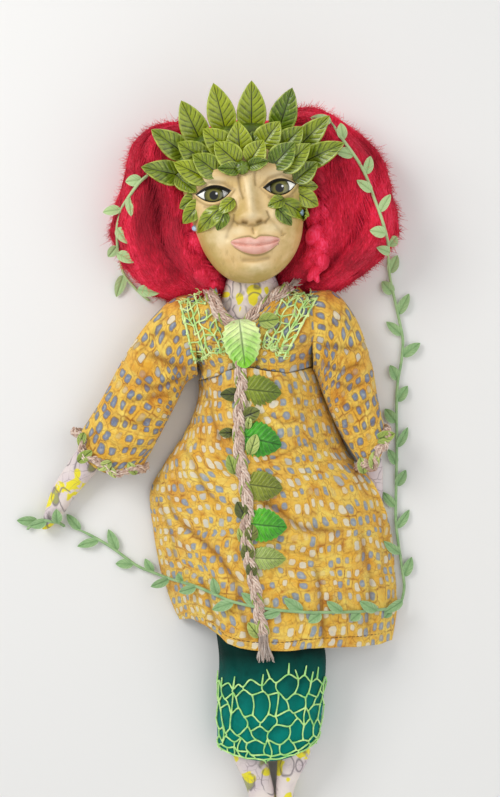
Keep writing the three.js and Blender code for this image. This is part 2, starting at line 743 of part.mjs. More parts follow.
function cuffForm(side, grow) {
  const sections = sleeveSections(side, gap + cuffCordThick / 2);
  const count = sections.length;
  const ring = sections[count - 1].map((p, index) => p.clone().lerp(sections[count - 2][index], 0.1));
  const middle = ring.reduce((sum, p) => sum.add(p.clone()), vec(0, 0, 0)).divideScalar(ring.length);
  const along = middle.clone().sub(sections[count - 2]
    .reduce((sum, p) => sum.add(p.clone()), vec(0, 0, 0)).divideScalar(ring.length)).setZ(0).normalize();
  const sides = 6;
  const points = [];
  const faces = [];
  ring.forEach((point, index) => {
    const before = ring[(index + ring.length - 1) % ring.length];
    const after = ring[(index + 1) % ring.length];
    const tangent = after.clone().sub(before).normalize();
    const out = vec(0, 0, 0).crossVectors(tangent, along).normalize();
    for (let side2 = 0; side2 < sides; side2 += 1) {
      const angle = (side2 / sides) * Math.PI * 2;
      points.push(point.clone()
        .addScaledVector(along, Math.cos(angle) * (cuffCordWidth / 2 + grow))
        .addScaledVector(out, Math.sin(angle) * (cuffCordThick / 2 + grow)));
      const a = index * sides + side2;
      const b = index * sides + (side2 + 1) % sides;
      const c = ((index + 1) % ring.length) * sides + (side2 + 1) % sides;
      const d = ((index + 1) % ring.length) * sides + side2;
      faces.push([a, b, c], [a, c, d]);
    }
  });
  return solidFrom(points, faces);
}

// Wool: rounded masses standing on the floor, from an outline round the head
const hairShares = {
  top: [[-0.9, 1.5], [-0.4, 1.72], [0.1, 1.76], [0.6, 1.7], [0.95, 1.5], [0.9, 0.9], [0.7, 0.3], [0.55, -0.2],
    [0, -0.45], [-0.55, -0.2], [-0.75, 0.3], [-0.95, 0.9]],
  right: [[-1.04, 1.9], [-1.5, 1.74], [-1.9, 1.46], [-2.04, 1.03], [-2.18, 0.58], [-2.36, 0.12],
    [-2.27, -0.37], [-1.95, -0.6], [-1.86, -0.84], [-1.44, -1.05], [-0.72, -0.95], [-0.6, -0.5],
    [-0.62, 0.4], [-0.8, 1.3]],
  left: [[1, 1.9], [1.5, 1.66], [1.88, 1.38], [2.24, 1], [2.39, 0.57], [2.42, 0.08], [2.44, -0.41],
    [2.14, -0.86], [1.67, -1.06], [1.2, -1.2], [0.86, -1.05], [0.6, -0.5], [0.58, 0.4], [0.75, 1.3]],
};
// Rise of the mass: scale of the outline and height, as shares
const hairRiseShares = [[0.93, 0], [1, 0.16], [1, 0.42], [0.92, 0.68], [0.74, 0.88], [0.42, 1]];
const hairTopShare = 0.72;

function hairForm(which, grow) {
  const outline = new THREE.SplineCurve([...hairShares[which], hairShares[which][0]]
    .map(([across, along]) => new THREE.Vector2(across, along)));
  const count = 22;
  const loop = Array.from({ length: count }, (_, index) => outline.getPoint(index / count));
  const centre = loop.reduce((sum, p) => sum.add(p), new THREE.Vector2(0, 0)).divideScalar(count);
  const depth = hairDepth * (which === 'top' ? hairTopShare : 1);
  const sections = hairRiseShares.map(([scale, rise]) => loop.map((p) => {
    const away = p.clone().sub(centre);
    const reach = away.length() * scale + grow / faceUnit;
    const place = centre.clone().add(away.setLength(reach));
    return headPoint(place.x, place.y, depth * rise);
  }));
  sections[0].forEach((p) => p.setZ(-grow));
  sections[sections.length - 1].forEach((p) => p.setZ(depth + grow));
  return loft(sections);
}

// Tighter curls beside the face
const curlShares = {
  right: [[-1.02, 0.1, 0.86], [-1, -0.35, 0.84], [-0.86, -0.75, 0.76], [-0.7, -1, 0.7]],
  left: [[1.12, 0.85, 0.84], [1.14, 0.3, 0.88], [1.1, -0.3, 0.88], [1, -0.8, 0.8], [0.92, -1.1, 0.72]],
};

function curlForm(side, grow) {
  const path = curlShares[side].map(
    ([across, along, high]) => headPoint(across, along, hairDepth * high + curlThick / 4),
  );
  return twine(smoothPath(path, 10), curlThick, curlThick, grow, 10);
}

// Clay leaves of the crown: tip across and along, base across and along, width, base and tip height
const spikeShares = [
  [-1.68, 1, -1, 0.8, 1, 0.35, 0.72], [-1.45, 1.59, -0.9, 1.12, 1.05, 0.4, 0.78],
  [-0.92, 2.02, -0.66, 1.35, 1.2, 0.35, 0.72], [-0.37, 2.24, -0.25, 1.45, 1.25, 0.4, 0.78],
  [0.25, 2.22, 0.16, 1.44, 1.25, 0.35, 0.72], [0.89, 2.02, 0.58, 1.38, 1.2, 0.4, 0.78],
  [1.44, 1.5, 0.82, 1.02, 1.05, 0.35, 0.72], [1.63, 1.02, 0.9, 0.8, 1, 0.4, 0.78],
];
const middleShares = [
  [-1.05, 1.33, -0.62, 0.98, 0.9], [-0.62, 1.5, -0.2, 1.08, 0.95], [-0.28, 1.46, -0.16, 1.05, 0.7],
  [-0.05, 1.56, -0.07, 0.96, 0.95], [0.18, 1.36, 0.1, 1, 0.7], [0.63, 1.48, 0.25, 1.12, 0.95],
  [0.99, 1.36, 0.58, 1.04, 0.9],
];
const frontShares = [
  [-1.13, 1, -0.58, 0.66, 0.8], [-0.81, 1.08, -0.42, 0.72, 0.75], [-0.45, 1.24, -0.12, 0.8, 0.95],
  [0.31, 1.18, 0.06, 0.84, 0.85], [0.81, 1.08, 0.4, 0.74, 0.85], [1.07, 1.05, 0.55, 0.66, 0.85],
  [1.15, 0.75, 0.76, 0.5, 0.8],
];
const buttonShares = [-0.04, 0.76];
const buttonLeafShares = [[-0.46, 0.81, -0.08, 0.74, 0.55], [0.38, 0.83, 0.02, 0.78, 0.5]];
const cheekShares = {
  right_outer: [[-1.12, 0.27, -0.78, 0.42, 0.95], [-1.1, 0.02, -0.76, 0.34, 1]],
  right_inner: [[-0.87, -0.13, -0.42, 0.16, 1.05], [-0.51, 0.07, -0.3, 0.24, 0.75],
    [-0.58, -0.17, -0.34, 0.06, 0.85]],
  left_outer: [[1.12, 0.37, 0.76, 0.4, 0.8], [1.09, 0.07, 0.76, 0.36, 1]],
  left_inner: [[0.28, 0.1, 0.52, 0.16, 0.75], [0.92, -0.1, 0.5, 0.14, 1], [0.63, -0.22, 0.44, 0.08, 0.9]],
};

// Build, from the inside out
const pieces = [];
const keep = (name, solid, colour, roughness) => pieces.push({ name, solid, colour, roughness });

const core = coreForm(0);
const dowelHole = dowelForm(gap);
const torsoGrown = torsoForm(gap);
keep('neck_dowel', dowelForm(0), palette.wood, 0.7);
keep('head_core', cut(core, dowelHole), palette.felt, 0.95);
keep('torso', cut(torsoForm(0), coreForm(gap), dowelHole), palette.print, 0.9);

const eyes = { right: eyeForm('right', 0), left: eyeForm('left', 0) };
const eyesGrown = [eyeForm('right', gap), eyeForm('left', gap)];
const mask = cut(maskForm(0), coreForm(gap), torsoGrown, ...eyesGrown, dowelHole);
const maskGrown = maskForm(gap);
const onMask = heightOver([mask, eyes.right, eyes.left]);
keep('face', mask, palette.skin, 0.45);
keep('eye_right', eyes.right, palette.eyeWhite, 0.15);
keep('eye_left', eyes.left, palette.eyeWhite, 0.15);

const beadSeatShare = 0.35;

function beadForm(side, grow) {
  const [across, along] = beadShares[side];
  const spot = headPoint(across, along, 0);
  const seat = vec(spot.x, spot.y, onMask(spot.x, spot.y) + beadDiameter * beadSeatShare);
  return ellipsoid(seat, vec(1, 1, 1).multiplyScalar(beadDiameter / 2), grow, 10, 6);
}

keep('bead_right', cut(beadForm('right', 0), maskGrown), palette.bead, 0.2);
keep('bead_left', cut(beadForm('left', 0), maskGrown), palette.bead, 0.2);

// Crown: the band and middle row lie on the mask, the spikes stand behind, the front leaves lie over both
function clayLeaf([tipX, tipY, baseX, baseY, width], baseZ, tipZ, grow, wide = crownLeafWidth) {
  return leaf({
    base: headPoint(baseX, baseY, baseZ),
    tip: headPoint(tipX, tipY, tipZ),
    width: wide * width,
    thick: crownLeafThick,
    crease: crownLeafThick,
    arch: crownLeafThick,
  }, grow);
}

const bandHeightShare = 0.42;
const bandZ = maskEdge + faceRelief * bandHeightShare;
const bandShares = [
  [-0.98, 0.86], [-0.86, 1.1], [-0.6, 1.3], [-0.2, 1.4], [0.16, 1.4], [0.54, 1.3], [0.8, 1.08], [0.9, 0.86],
];
const bandPath = smoothPath(bandShares.map(([across, along]) => headPoint(across, along, bandZ)), 16);
const bandForm = (grow) => twine(bandPath, crownBand, crownBand, grow, 6);
const spikeOf = (row, grow) => {
  const [, , , , , baseShare, tipShare] = row;
  const baseZ = maskEdge + faceRelief * baseShare;
  return clayLeaf(row, baseZ, maskEdge + faceRelief * tipShare, grow);
};
const middleOf = (grow) => fuse(middleShares.map((row, index) => {
  const lift = (index % 2) * crownLeafThick * 1.2;
  return clayLeaf(row, bandZ + crownBand * 0.9 + lift, bandZ + crownBand * 1.9 + lift, grow);
}));

let crownLaid = fuse([maskGrown, bandForm(gap)]);
const middleRow = cut(fuse([bandForm(0), middleOf(0)]), maskGrown);
let spikesLaid = fuse([maskGrown, bandForm(gap), middleOf(gap)]);
spikeShares.forEach((row, index) => {
  const spike = cut(spikeOf(row, 0), spikesLaid);
  spikesLaid = spikesLaid.add(spikeOf(row, gap));
  keep(`crown_spike_${index + 1}`, spike, palette.backLeaf, 0.5);
});
keep('crown_middle_row', middleRow, palette.middleLeaf, 0.5);
crownLaid = crownLaid.add(middleOf(gap));

const onCrown = heightOver([mask, middleRow]);
const frontOf = (row, index, grow) => {
  const [tipX, tipY, baseX, baseY] = row;
  const base = headPoint(baseX, baseY, 0);
  const tip = headPoint(tipX, tipY, 0);
  const stagger = (index % 2) * crownLeafThick * 0.8;
  const baseZ = onCrown(base.x, base.y) + crownLeafThick + stagger;
  const tipZ = Math.max(onCrown(tip.x, tip.y), baseZ - crownBand) + crownLeafThick * 1.5 + stagger;
  return clayLeaf(row, baseZ, tipZ, grow);
};
let frontLaid = crownLaid;
frontShares.forEach((row, index) => {
  const solid = cut(frontOf(row, index, 0), frontLaid, spikesLaid);
  keep(`crown_front_leaf_${index + 1}`, solid, palette.frontLeaf, 0.5);
  frontLaid = frontLaid.add(frontOf(row, index, gap));
});

const buttonSpot = headPoint(...buttonShares, 0);
const buttonZ = onMask(buttonSpot.x, buttonSpot.y);
const buttonRadius = crownBand * 0.7;
const buttonSeed = (grow) => ellipsoid(
  vec(buttonSpot.x, buttonSpot.y, buttonZ),
  vec(buttonRadius, buttonRadius, buttonRadius),
  grow,
  8,
  5,
);
const buttonParts = (grow) => fuse([buttonSeed(grow), ...buttonLeafShares.map(
  (row) => clayLeaf(row, buttonZ + crownLeafThick, buttonZ + crownLeafThick * 1.6, grow),
)]);
keep('crown_button', cut(buttonParts(0), frontLaid), palette.button, 0.5);
frontLaid = frontLaid.add(buttonParts(gap));

let cheeksLaid = fuse([maskGrown, ...eyesGrown, frontLaid, beadForm('right', gap), beadForm('left', gap)]);
for (const [place, rows] of Object.entries(cheekShares)) {
  const cluster = (grow) => fuse(rows.map((row) => {
    const base = headPoint(row[2], row[3], 0);
    const tip = headPoint(row[0], row[1], 0);
    const baseZ = onMask(base.x, base.y) + crownLeafThick / 2;
    const tipZ = Math.max(onMask(tip.x, tip.y), baseZ - crownBand) + crownLeafThick;
    return clayLeaf(row, baseZ, tipZ, grow, cheekLeafWidth);
  }));
  keep(`cheek_leaves_${place}`, cut(cluster(0), cheeksLaid), palette.cheekLeaf, 0.5);
  cheeksLaid = cheeksLaid.add(cluster(gap));
}

// Garments and limbs
const arms = { right: armForm('right', 0), left: armForm('left', 0) };
keep('arm_right', arms.right, palette.print, 0.9);
keep('arm_left', arms.left, palette.print, 0.9);
keep('leg_right', legForm('right', 0), palette.print, 0.9);
keep('leg_left', cut(legForm('left', 0), legForm('right', gap)), palette.print, 0.9);

const neckV = [vec(-0.5, 0, 0), vec(0.5, 0, 0), vec(0, -1, 0)];
const neckCutWidth = neckWidth * 1.45;
const neckCutDepth = torsoLength * 0.16;
const neckCutY = seamY + bodiceLength + overrun;
const neckOpening = loft([bodiceTop * 0.5, bodiceTop + overrun].map((z) => neckV.map((p) => vec(
  bodyX * neckCentreShare + p.x * neckCutWidth,
  neckCutY + p.y * neckCutDepth,
  z,
))));

function armhole(side) {
  const sign = side === 'right' ? -1 : 1;
  const seamX = side === 'right' ? rightSeamX : leftSeamX;
  const inside = bodyX + sign * chestWidth * 0.3;
  const reach = Math.abs(seamX - inside) + overrun;
  const hole = new THREE.CylinderGeometry(shoulderRadius + gap * 3, shoulderRadius + gap * 3, reach, 20);
  hole.rotateZ(Math.PI / 2);
  hole.translate(inside + sign * reach / 2, shoulderY, shoulderHeight);
  return solidOf(hole);
}

const bodice = cut(bodiceForm(0), torsoGrown, neckOpening, armhole('right'), armhole('left'));
keep('tunic_bodice', bodice, palette.batik, 0.85);
const bodiceGrown = bodiceForm(gap);

const skirtHollow = hollowOf(skirtRows, cottonThick);
const tunicSkirt = cut(
  skirtForm(0),
  skirtHollow,
  armForm('left', gap),
  torsoGrown,
  underskirtForm(gap),
  legForm('right', gap),
  legForm('left', gap),
);
keep('tunic_skirt', tunicSkirt, palette.batik, 0.85);
const skirtGrown = skirtForm(gap);

const cuffs = {};
for (const side of ['right', 'left']) {
  const sleeve = cut(sleeveForm(side, 0), sleeveHollow(side), armForm(side, gap), skirtGrown);
  keep(`sleeve_${side}`, sleeve, palette.batik, 0.85);
  cuffs[side] = cut(cuffForm(side, 0), sleeveForm(side, gap), armForm(side, gap), skirtGrown);
  keep(`cuff_twine_${side}`, cuffs[side], palette.twine, 0.95);
}

const underskirt = cut(
  underskirtForm(0),
  hollowOf(underskirtRows, underskirtThick),
  legForm('right', gap),
  legForm('left', gap),
);
keep('underskirt', underskirt, palette.teal, 0.8);

// Nets
const overlayTopShare = 0.42;
const overlaySideShare = 0.93;
const overlay = net((u, v, lift) => {
  const row = rowBetween(underskirtRows, mix(overlayTopShare, 1, v));
  return clothPoint(row, mix(-overlaySideShare, overlaySideShare, u), lift);
}, 8, 6, 0.16);
keep('net_overlay', overlay, palette.net, 0.8);

const onBodice = heightOver([bodiceForm(0)]);
// Collar corners between the arm seams and along the bodice: outer top, inner top, inner foot, outer foot
const collarShares = {
  right: [[0.05, 0.82], [0.095, 0.91], [0.29, 0.2], [0.08, 0.1]],
  left: [[0.95, 0.76], [0.87, 0.92], [0.59, 0.24], [0.76, 0.16]],
};
for (const side of ['right', 'left']) {
  const corners = collarShares[side].map(([across, along]) => [
    mix(rightSeamX, leftSeamX, across), seamY + bodiceLength * along,
  ]);
  const [outerTop, innerTop, innerFoot, outerFoot] = corners;
  keep(`net_collar_${side}`, net((u, v, lift) => {
    const x = mix(mix(outerTop[0], innerTop[0], u), mix(outerFoot[0], innerFoot[0], u), v);
    const y = mix(mix(outerTop[1], innerTop[1], u), mix(outerFoot[1], innerFoot[1], u), v);
    return vec(x, y, onBodice(x, y) + lift);
  }, 4, 5, 0.14), palette.collarNet, 0.8);
}

// Wool round the head
const hairTop = cut(hairForm('top', 0), coreForm(gap), maskGrown, torsoGrown);
keep('hair_top', hairTop, palette.woolDark, 0.9);
const hair = {};
for (const side of ['right', 'left']) {
  hair[side] = cut(
    hairForm(side, 0),
    coreForm(gap),
    maskGrown,
    torsoGrown,
    hairForm('top', gap),
    bodiceGrown,
    sleeveForm(side, gap * 3),
    spikesLaid,
    frontLaid,
    cheeksLaid,
  );
  keep(`hair_${side}`, hair[side], palette.wool, 0.9);
  keep(`curls_${side}`, cut(
    curlForm(side, 0),
    hairForm(side, gap),
    maskGrown,
    torsoGrown,
    bodiceGrown,
    spikesLaid,
    frontLaid,
    cheeksLaid,
    hairForm('top', gap),
  ), palette.curl, 0.9);
}

// Twine round the neckline and down the front: places on plan
const neckTwineShares = [
  [-0.74, 1.12], [-0.58, 0.83], [-0.42, 0.62], [-0.12, 0.52], [0.1, 0.62], [0.48, 0.8], [0.9, 0.98],
];
const onChest = heightOver([bodice, torsoForm(0)]);
const neckTwinePath = smoothPath(neckTwineShares.map(([across, along]) => {
  const x = bodyX * neckCentreShare + (chestWidth / 2) * across;
  const y = seamY + bodiceLength * along;
  return vec(x, y, Math.max(onChest(x, y), chestTop * 0.86) + braidThick / 2 + gap);
}), 16);
const neckTwineForm = (grow) => twine(neckTwinePath, neckTwineWidth, braidThick, grow, 6);
const neckTwine = cut(
  neckTwineForm(0),
  bodiceForm(gap).subtract(neckOpening),
  torsoGrown,
  maskGrown,
  hairForm('left', gap),
  hairForm('right', gap),
  curlForm('left', gap),
  curlForm('right', gap),
);
keep('neck_twine', neckTwine, palette.twine, 0.95);

// Braid: place down from the seam and across, as shares of the skirt's length and width
const braidShares = [
  [-0.05, -0.035], [0.06, -0.026], [0.16, -0.042], [0.28, -0.046], [0.4, -0.03], [0.48, -0.026],
  [0.56, -0.035], [0.66, -0.026], [0.76, -0.01], [0.86, 0.004], [0.915, 0.013],
];
const onTunic = heightOver([bodiceForm(0), skirtForm(0)]);
const tunicPoint = (down, across, lift) => {
  const x = skirtWidth * across;
  const y = seamY - skirtLength * down;
  return vec(x, y, onTunic(x, y) + lift);
};
const braidPath = smoothPath(braidShares.map(([down, across]) => tunicPoint(down, across, 0)), 22)
  .map((p) => vec(p.x, p.y, onTunic(p.x, p.y) + braidThick * 0.4));
const braidForm = (grow) => twine(braidPath, braidWidth, braidThick, grow, 6);
const frontBraid = cut(braidForm(0), bodiceGrown, skirtGrown);
keep('front_braid', frontBraid, palette.twine, 0.95);

const tasselShares = [[0.917, 0.013, 0.8], [0.95, 0.013, 1.1], [1, 0.011, 1.5]];
const tasselForm = (grow) => loft(tasselShares.map(([down, across, width]) => {
  const x = skirtWidth * across;
  const y = seamY - skirtLength * down;
  const half = (braidWidth / 2) * width;
  const low = Math.max(onTunic(x, y), tunicTop * 0.8) - braidThick * 0.1;
  return ovalSection([x - half, y - gap], [x + half, y - gap], low, low + braidThick * 0.9, grow, 12);
}), grow);
const tassel = cut(tasselForm(0), skirtGrown, braidForm(gap), underskirtForm(gap));
keep('braid_tassel', tassel, palette.tassel, 0.95);

// Satin leaves down the front: base and tip, down and across, then width share
const satinShares = [
  [0.07, -0.02, 0.075, 0.13, 0.84], [0.235, -0.035, 0.24, 0.115, 0.95], [0.395, -0.02, 0.395, 0.105, 0.85],
  [0.53, -0.025, 0.535, 0.115, 0.92], [0.64, -0.015, 0.65, 0.105, 0.6],
];
let frontDone = fuse([bodiceGrown, skirtGrown, braidForm(gap)]);
const onFront = heightOver([bodiceForm(0), skirtForm(0), braidForm(0)]);
const satinForm = ([baseDown, baseAcross, tipDown, tipAcross, width], lift, grow) => {
  const base = tunicPoint(baseDown, baseAcross, 0).setZ(0);
  const tip = tunicPoint(tipDown, tipAcross, 0).setZ(0);
  base.z = onFront(base.x, base.y) + lift;
  tip.z = onFront(tip.x, tip.y) + lift * 0.6;
  return leaf({
    base,
    tip,
    width: satinLeafLength * width,
    thick: satinThick,
    crease: satinThick,
    arch: satinThick,
  }, grow);
};
const satinGreens = [palette.oliveSatin, palette.greenSatin];
satinShares.forEach((row, index) => {
  keep(`front_leaf_${index + 1}`, cut(satinForm(row, satinThick, 0), frontDone), satinGreens[index % 2], 0.4);
  frontDone = frontDone.add(satinForm(row, satinThick, gap));
});

const broochBase = [-0.06, 0.6];
const broochTop = neckTwinePath.reduce((top, p) => Math.max(top, p.z), 0);
const broochForm = (grow) => {
  const x = bodyX * neckCentreShare + chestWidth * broochBase[0] / 2;
  const y = seamY + bodiceLength * broochBase[1];
  const tipZ = onTunic(x, y - broochLength) + braidThick + satinThick;
  return leaf({
    base: vec(x, y, broochTop + braidThick / 2),
    tip: vec(x, y - broochLength, tipZ),
    width: broochLength * 0.82,
    thick: satinThick,
    crease: satinThick,
    arch: satinThick * 2,
  }, grow);
};
keep('brooch_leaf', cut(broochForm(0), frontDone, neckTwineForm(gap)), palette.brooch, 0.4);

// Velvet vines: routes on plan, chosen by hand along the doll
const vineRadius = vineThick / 2;
const garments = [bodiceForm(0), skirtForm(0), braidForm(0), cuffs.right, cuffs.left];
const onEverything = heightOver([...garments, hair.left, hair.right, arms.right]);
const vinePlace = ([x, y]) => vec(x, y, onEverything(x, y) + vineRadius + gap * 2);

function vineForm(route, steps, grow) {
  const coarse = smoothPath(route.map(([x, y]) => vec(x, y, 0)), steps);
  const lifted = coarse.map((p) => vinePlace([p.x, p.y]));
  const soft = lifted.map((p, index) => {
    const before = lifted[Math.max(index - 1, 0)];
    const after = lifted[Math.min(index + 1, lifted.length - 1)];
    return vec(p.x, p.y, Math.max(p.z, (before.z + after.z) / 2));
  });
  return twine(soft, vineThick, vineThick, grow, 5);
}

const longVineRoute = [
  [74, 293], [83, 275], [96, 255], [104, 238], [109, 221], [114, 203], [119, 188], [121, 166], [124, 148],
  [127, 130], [129, 115], [127, 98], [123, 80], [121, 59], [120, 33], [118, 1], [116, -32], [117, -51],
  [119, -71], [120, -90], [114, -103], [99, -103], [73, -101], [32, -97], [2, -92], [-24, -85], [-48, -75],
  [-62, -72], [-77, -69], [-88, -65], [-100, -59], [-120, -43], [-141, -30], [-150, -27],
];
const shortVineRoute = [
  [-70, 254], [-78, 247], [-88, 236], [-95, 228], [-99, 213], [-100, 195], [-98, 181], [-92, 172],
  [-84, 163], [-77, 157],
];
// The sprig lies over the right hand: shares of the arm length from the shoulder
const sprigShares = [
  [-0.545, -0.778], [-0.584, -0.754], [-0.632, -0.744], [-0.681, -0.768], [-0.714, -0.788],
];
const sprigRoute = sprigShares.map(([x, y]) => [rightSeamX + armLength * x, shoulderY + armLength * y]);

const vineBlocks = [
  skirtGrown,
  bodiceGrown,
  braidForm(gap),
  frontDone,
  hairForm('left', gap),
  hairForm('right', gap),
];
const vines = {
  vine_long: cut(vineForm(longVineRoute, 62, 0), ...vineBlocks, cuffForm('left', gap)),
  vine_short: cut(vineForm(shortVineRoute, 18, 0), ...vineBlocks, sleeveForm('right', gap)),
  vine_sprig: cut(vineForm(sprigRoute, 8, 0), armForm('right', gap), cuffForm('right', gap)),
};
for (const [name, solid] of Object.entries(vines)) {
  keep(name, solid, palette.vine, 0.9);
}

const doll = new THREE.Group();
for (const { name, solid, colour, roughness } of pieces) {
  const material = new THREE.MeshStandardMaterial({ color: colour, roughness, metalness: 0 });
  const mesh = new THREE.Mesh(geometryOf(solid), material);
  mesh.name = name;
  doll.add(mesh);
}

export default doll;
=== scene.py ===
import math
import random

import bmesh
import bpy
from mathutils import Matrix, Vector, noise
from mathutils.bvhtree import BVHTree


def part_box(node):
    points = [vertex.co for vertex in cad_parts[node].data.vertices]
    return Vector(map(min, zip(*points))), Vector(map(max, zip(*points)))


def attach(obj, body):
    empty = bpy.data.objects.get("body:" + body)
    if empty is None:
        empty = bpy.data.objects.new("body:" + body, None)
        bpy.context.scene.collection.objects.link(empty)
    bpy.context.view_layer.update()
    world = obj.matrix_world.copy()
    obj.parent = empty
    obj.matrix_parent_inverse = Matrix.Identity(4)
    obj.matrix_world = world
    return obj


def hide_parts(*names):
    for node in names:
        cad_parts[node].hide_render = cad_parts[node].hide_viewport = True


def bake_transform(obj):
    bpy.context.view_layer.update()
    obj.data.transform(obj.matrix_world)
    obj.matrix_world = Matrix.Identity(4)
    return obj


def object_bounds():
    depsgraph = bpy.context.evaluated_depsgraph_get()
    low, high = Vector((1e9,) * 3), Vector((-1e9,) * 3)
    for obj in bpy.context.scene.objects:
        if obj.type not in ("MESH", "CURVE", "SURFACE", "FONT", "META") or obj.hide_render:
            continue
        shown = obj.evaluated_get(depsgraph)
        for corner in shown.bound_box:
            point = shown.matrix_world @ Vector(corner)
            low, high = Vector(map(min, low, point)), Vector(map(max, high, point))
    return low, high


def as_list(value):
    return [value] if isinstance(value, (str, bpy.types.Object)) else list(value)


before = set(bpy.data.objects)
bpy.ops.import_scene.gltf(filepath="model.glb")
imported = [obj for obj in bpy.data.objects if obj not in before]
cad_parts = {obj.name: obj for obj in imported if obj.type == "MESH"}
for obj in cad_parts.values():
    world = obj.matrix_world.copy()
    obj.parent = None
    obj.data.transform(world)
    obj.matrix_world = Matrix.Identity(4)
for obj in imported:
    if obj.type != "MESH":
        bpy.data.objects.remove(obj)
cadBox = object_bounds()
mm = 0.001
sides = ("right", "left")
random.seed(11)

# The camera looks straight down on the doll, which lies on its back
camera = {"x": 0.945, "y": 73.06, "distance": 1300, "lens": 71.14, "turn": 2.8}


def makeCamera():
    data = bpy.data.cameras.new("camera")
    data.lens = camera["lens"]
    data.sensor_fit = "VERTICAL"
    data.sensor_width = data.sensor_height = 36
    holder = bpy.data.objects.new("camera", data)
    holder.location = Vector((camera["x"], camera["y"], camera["distance"])) * mm
    holder.rotation_euler = (0, 0, -math.radians(camera["turn"]))
    bpy.context.scene.collection.objects.link(holder)
    bpy.context.scene.camera = holder


makeCamera()
bpy.context.scene.view_settings.view_transform = "Standard"
print("camera set")


# Shader sums are written as plain expressions on sockets
class Wire:
    def __init__(self, tree, socket):
        self.tree = tree
        self.socket = socket

    def maths(self, operation, *values):
        made = self.tree.nodes.new("ShaderNodeMath")
        made.operation = operation
        for place, value in zip(made.inputs, values):
            if isinstance(value, Wire):
                self.tree.links.new(value.socket, place)
            else:
                place.default_value = value
        return Wire(self.tree, made.outputs[0])

    def __add__(self, other):
        return self.maths("ADD", self, other)

    def __radd__(self, other):
        return self.maths("ADD", other, self)

    def __sub__(self, other):
        return self.maths("SUBTRACT", self, other)

    def __rsub__(self, other):
        return self.maths("SUBTRACT", other, self)

    def __mul__(self, other):
        return self.maths("MULTIPLY", self, other)

    def __rmul__(self, other):
        return self.maths("MULTIPLY", other, self)

    def __truediv__(self, other):
        return self.maths("DIVIDE", self, other)

    def __rtruediv__(self, other):
        return self.maths("DIVIDE", other, self)

    def __pow__(self, other):
        return self.maths("POWER", self, other)

    def __abs__(self):
        return self.maths("ABSOLUTE", self)

    def clamped(self):
        return self.maths("MINIMUM", self.maths("MAXIMUM", self, 0), 1)

    def rise(self, low, high):
        return ((self - low) / (high - low)).clamped()

    def sine(self):
        return self.maths("SINE", self)


def colour(red, green, blue):
    def straight(value):
        value /= 255
        return value / 12.92 if value <= 0.04045 else ((value + 0.055) / 1.055) ** 2.4

    return (straight(red), straight(green), straight(blue), 1)


class Finish:
    def __init__(self, name, roughness, **fixed):
        self.material = bpy.data.materials.new(name)
        self.material.use_nodes = True
        self.tree = self.material.node_tree
        self.shader = self.tree.nodes["Principled BSDF"]
        self.shader.inputs["Roughness"].default_value = roughness
        for key, value in fixed.items():
            self.shader.inputs[key.replace("_", " ")].default_value = value

    def node(self, kind, settings=None, inputs=None, output=0):
        made = self.tree.nodes.new("ShaderNode" + kind)
        for key, value in (settings or {}).items():
            if key == "stops":
                for index, (place, tint) in enumerate(value):
                    if index < 2:
                        stop = made.color_ramp.elements[index]
                    else:
                        stop = made.color_ramp.elements.new(place)
                    stop.position = place
                    stop.color = tint
            else:
                setattr(made, key, value)
        for key, value in (inputs or {}).items():
            if isinstance(value, Wire):
                self.tree.links.new(value.socket, made.inputs[key])
            else:
                made.inputs[key].default_value = value
        return Wire(self.tree, made.outputs[output])

    def spot(self):
        return self.node("TexCoord", output=3)

    def cloth(self):
        return self.node("UVMap", {"uv_map": "UVMap"})

    def mark(self, name):
        return self.node("Attribute", {"attribute_name": name}, output=2)

    def axis(self, place, index):
        return self.node("SeparateXYZ", None, {0: place}, index)

    def scaled(self, place, x, y, z=1):
        return self.node("VectorMath", {"operation": "MULTIPLY"}, {0: place, 1: (x, y, z)})

    def bent(self, place, wander, by):
        push = self.node("VectorMath", {"operation": "SUBTRACT"}, {0: wander, 1: (0.5, 0.5, 0.5)})
        push = self.node("VectorMath", {"operation": "SCALE"}, {0: push, "Scale": by})
        return self.node("VectorMath", {"operation": "ADD"}, {0: place, 1: push})

    def noise(self, place, scale, detail=3, output=0, rough=0.5):
        values = {"Vector": place, "Scale": scale, "Detail": detail, "Roughness": rough}
        return self.node("TexNoise", None, values, output)

    def cells(self, place, scale, output=0, settings=None, loose=1, power=2):
        chosen = {"feature": "F1", "distance": "EUCLIDEAN", **(settings or {})}
        values = {"Vector": place, "Scale": scale, "Randomness": loose}
        if chosen["distance"] == "MINKOWSKI":
            values["Exponent"] = power
        return self.node("TexVoronoi", chosen, values, output)

    def ramp(self, factor, *stops):
        return self.node("ValToRGB", {"stops": stops}, {0: factor})

    def mixed(self, factor, first, second):
        return self.node("Mix", {"data_type": "RGBA"}, {0: factor, 6: first, 7: second}, 2)

    def paint(self, tint):
        self.tree.links.new(tint.socket, self.shader.inputs["Base Color"])

    def dull(self, value):
        self.tree.links.new(value.socket, self.shader.inputs["Roughness"])

    def relief(self, height, depth, strength=1):
        values = {"Height": height, "Distance": depth * mm, "Strength": strength}
        self.tree.links.new(self.node("Bump", None, values).socket, self.shader.inputs["Normal"])


# Mesh helpers work in millimetres
def blend(a, b, share):
    return a + (b - a) * share


# Eased step from 0 at low to 1 at high
def smooth(low, high, value):
    share = min(max((value - low) / (high - low), 0), 1)
    return share * share * (3 - 2 * share)


# A bell of height 1
def hump(distance, width):
    return math.exp(-((distance / width) ** 2))


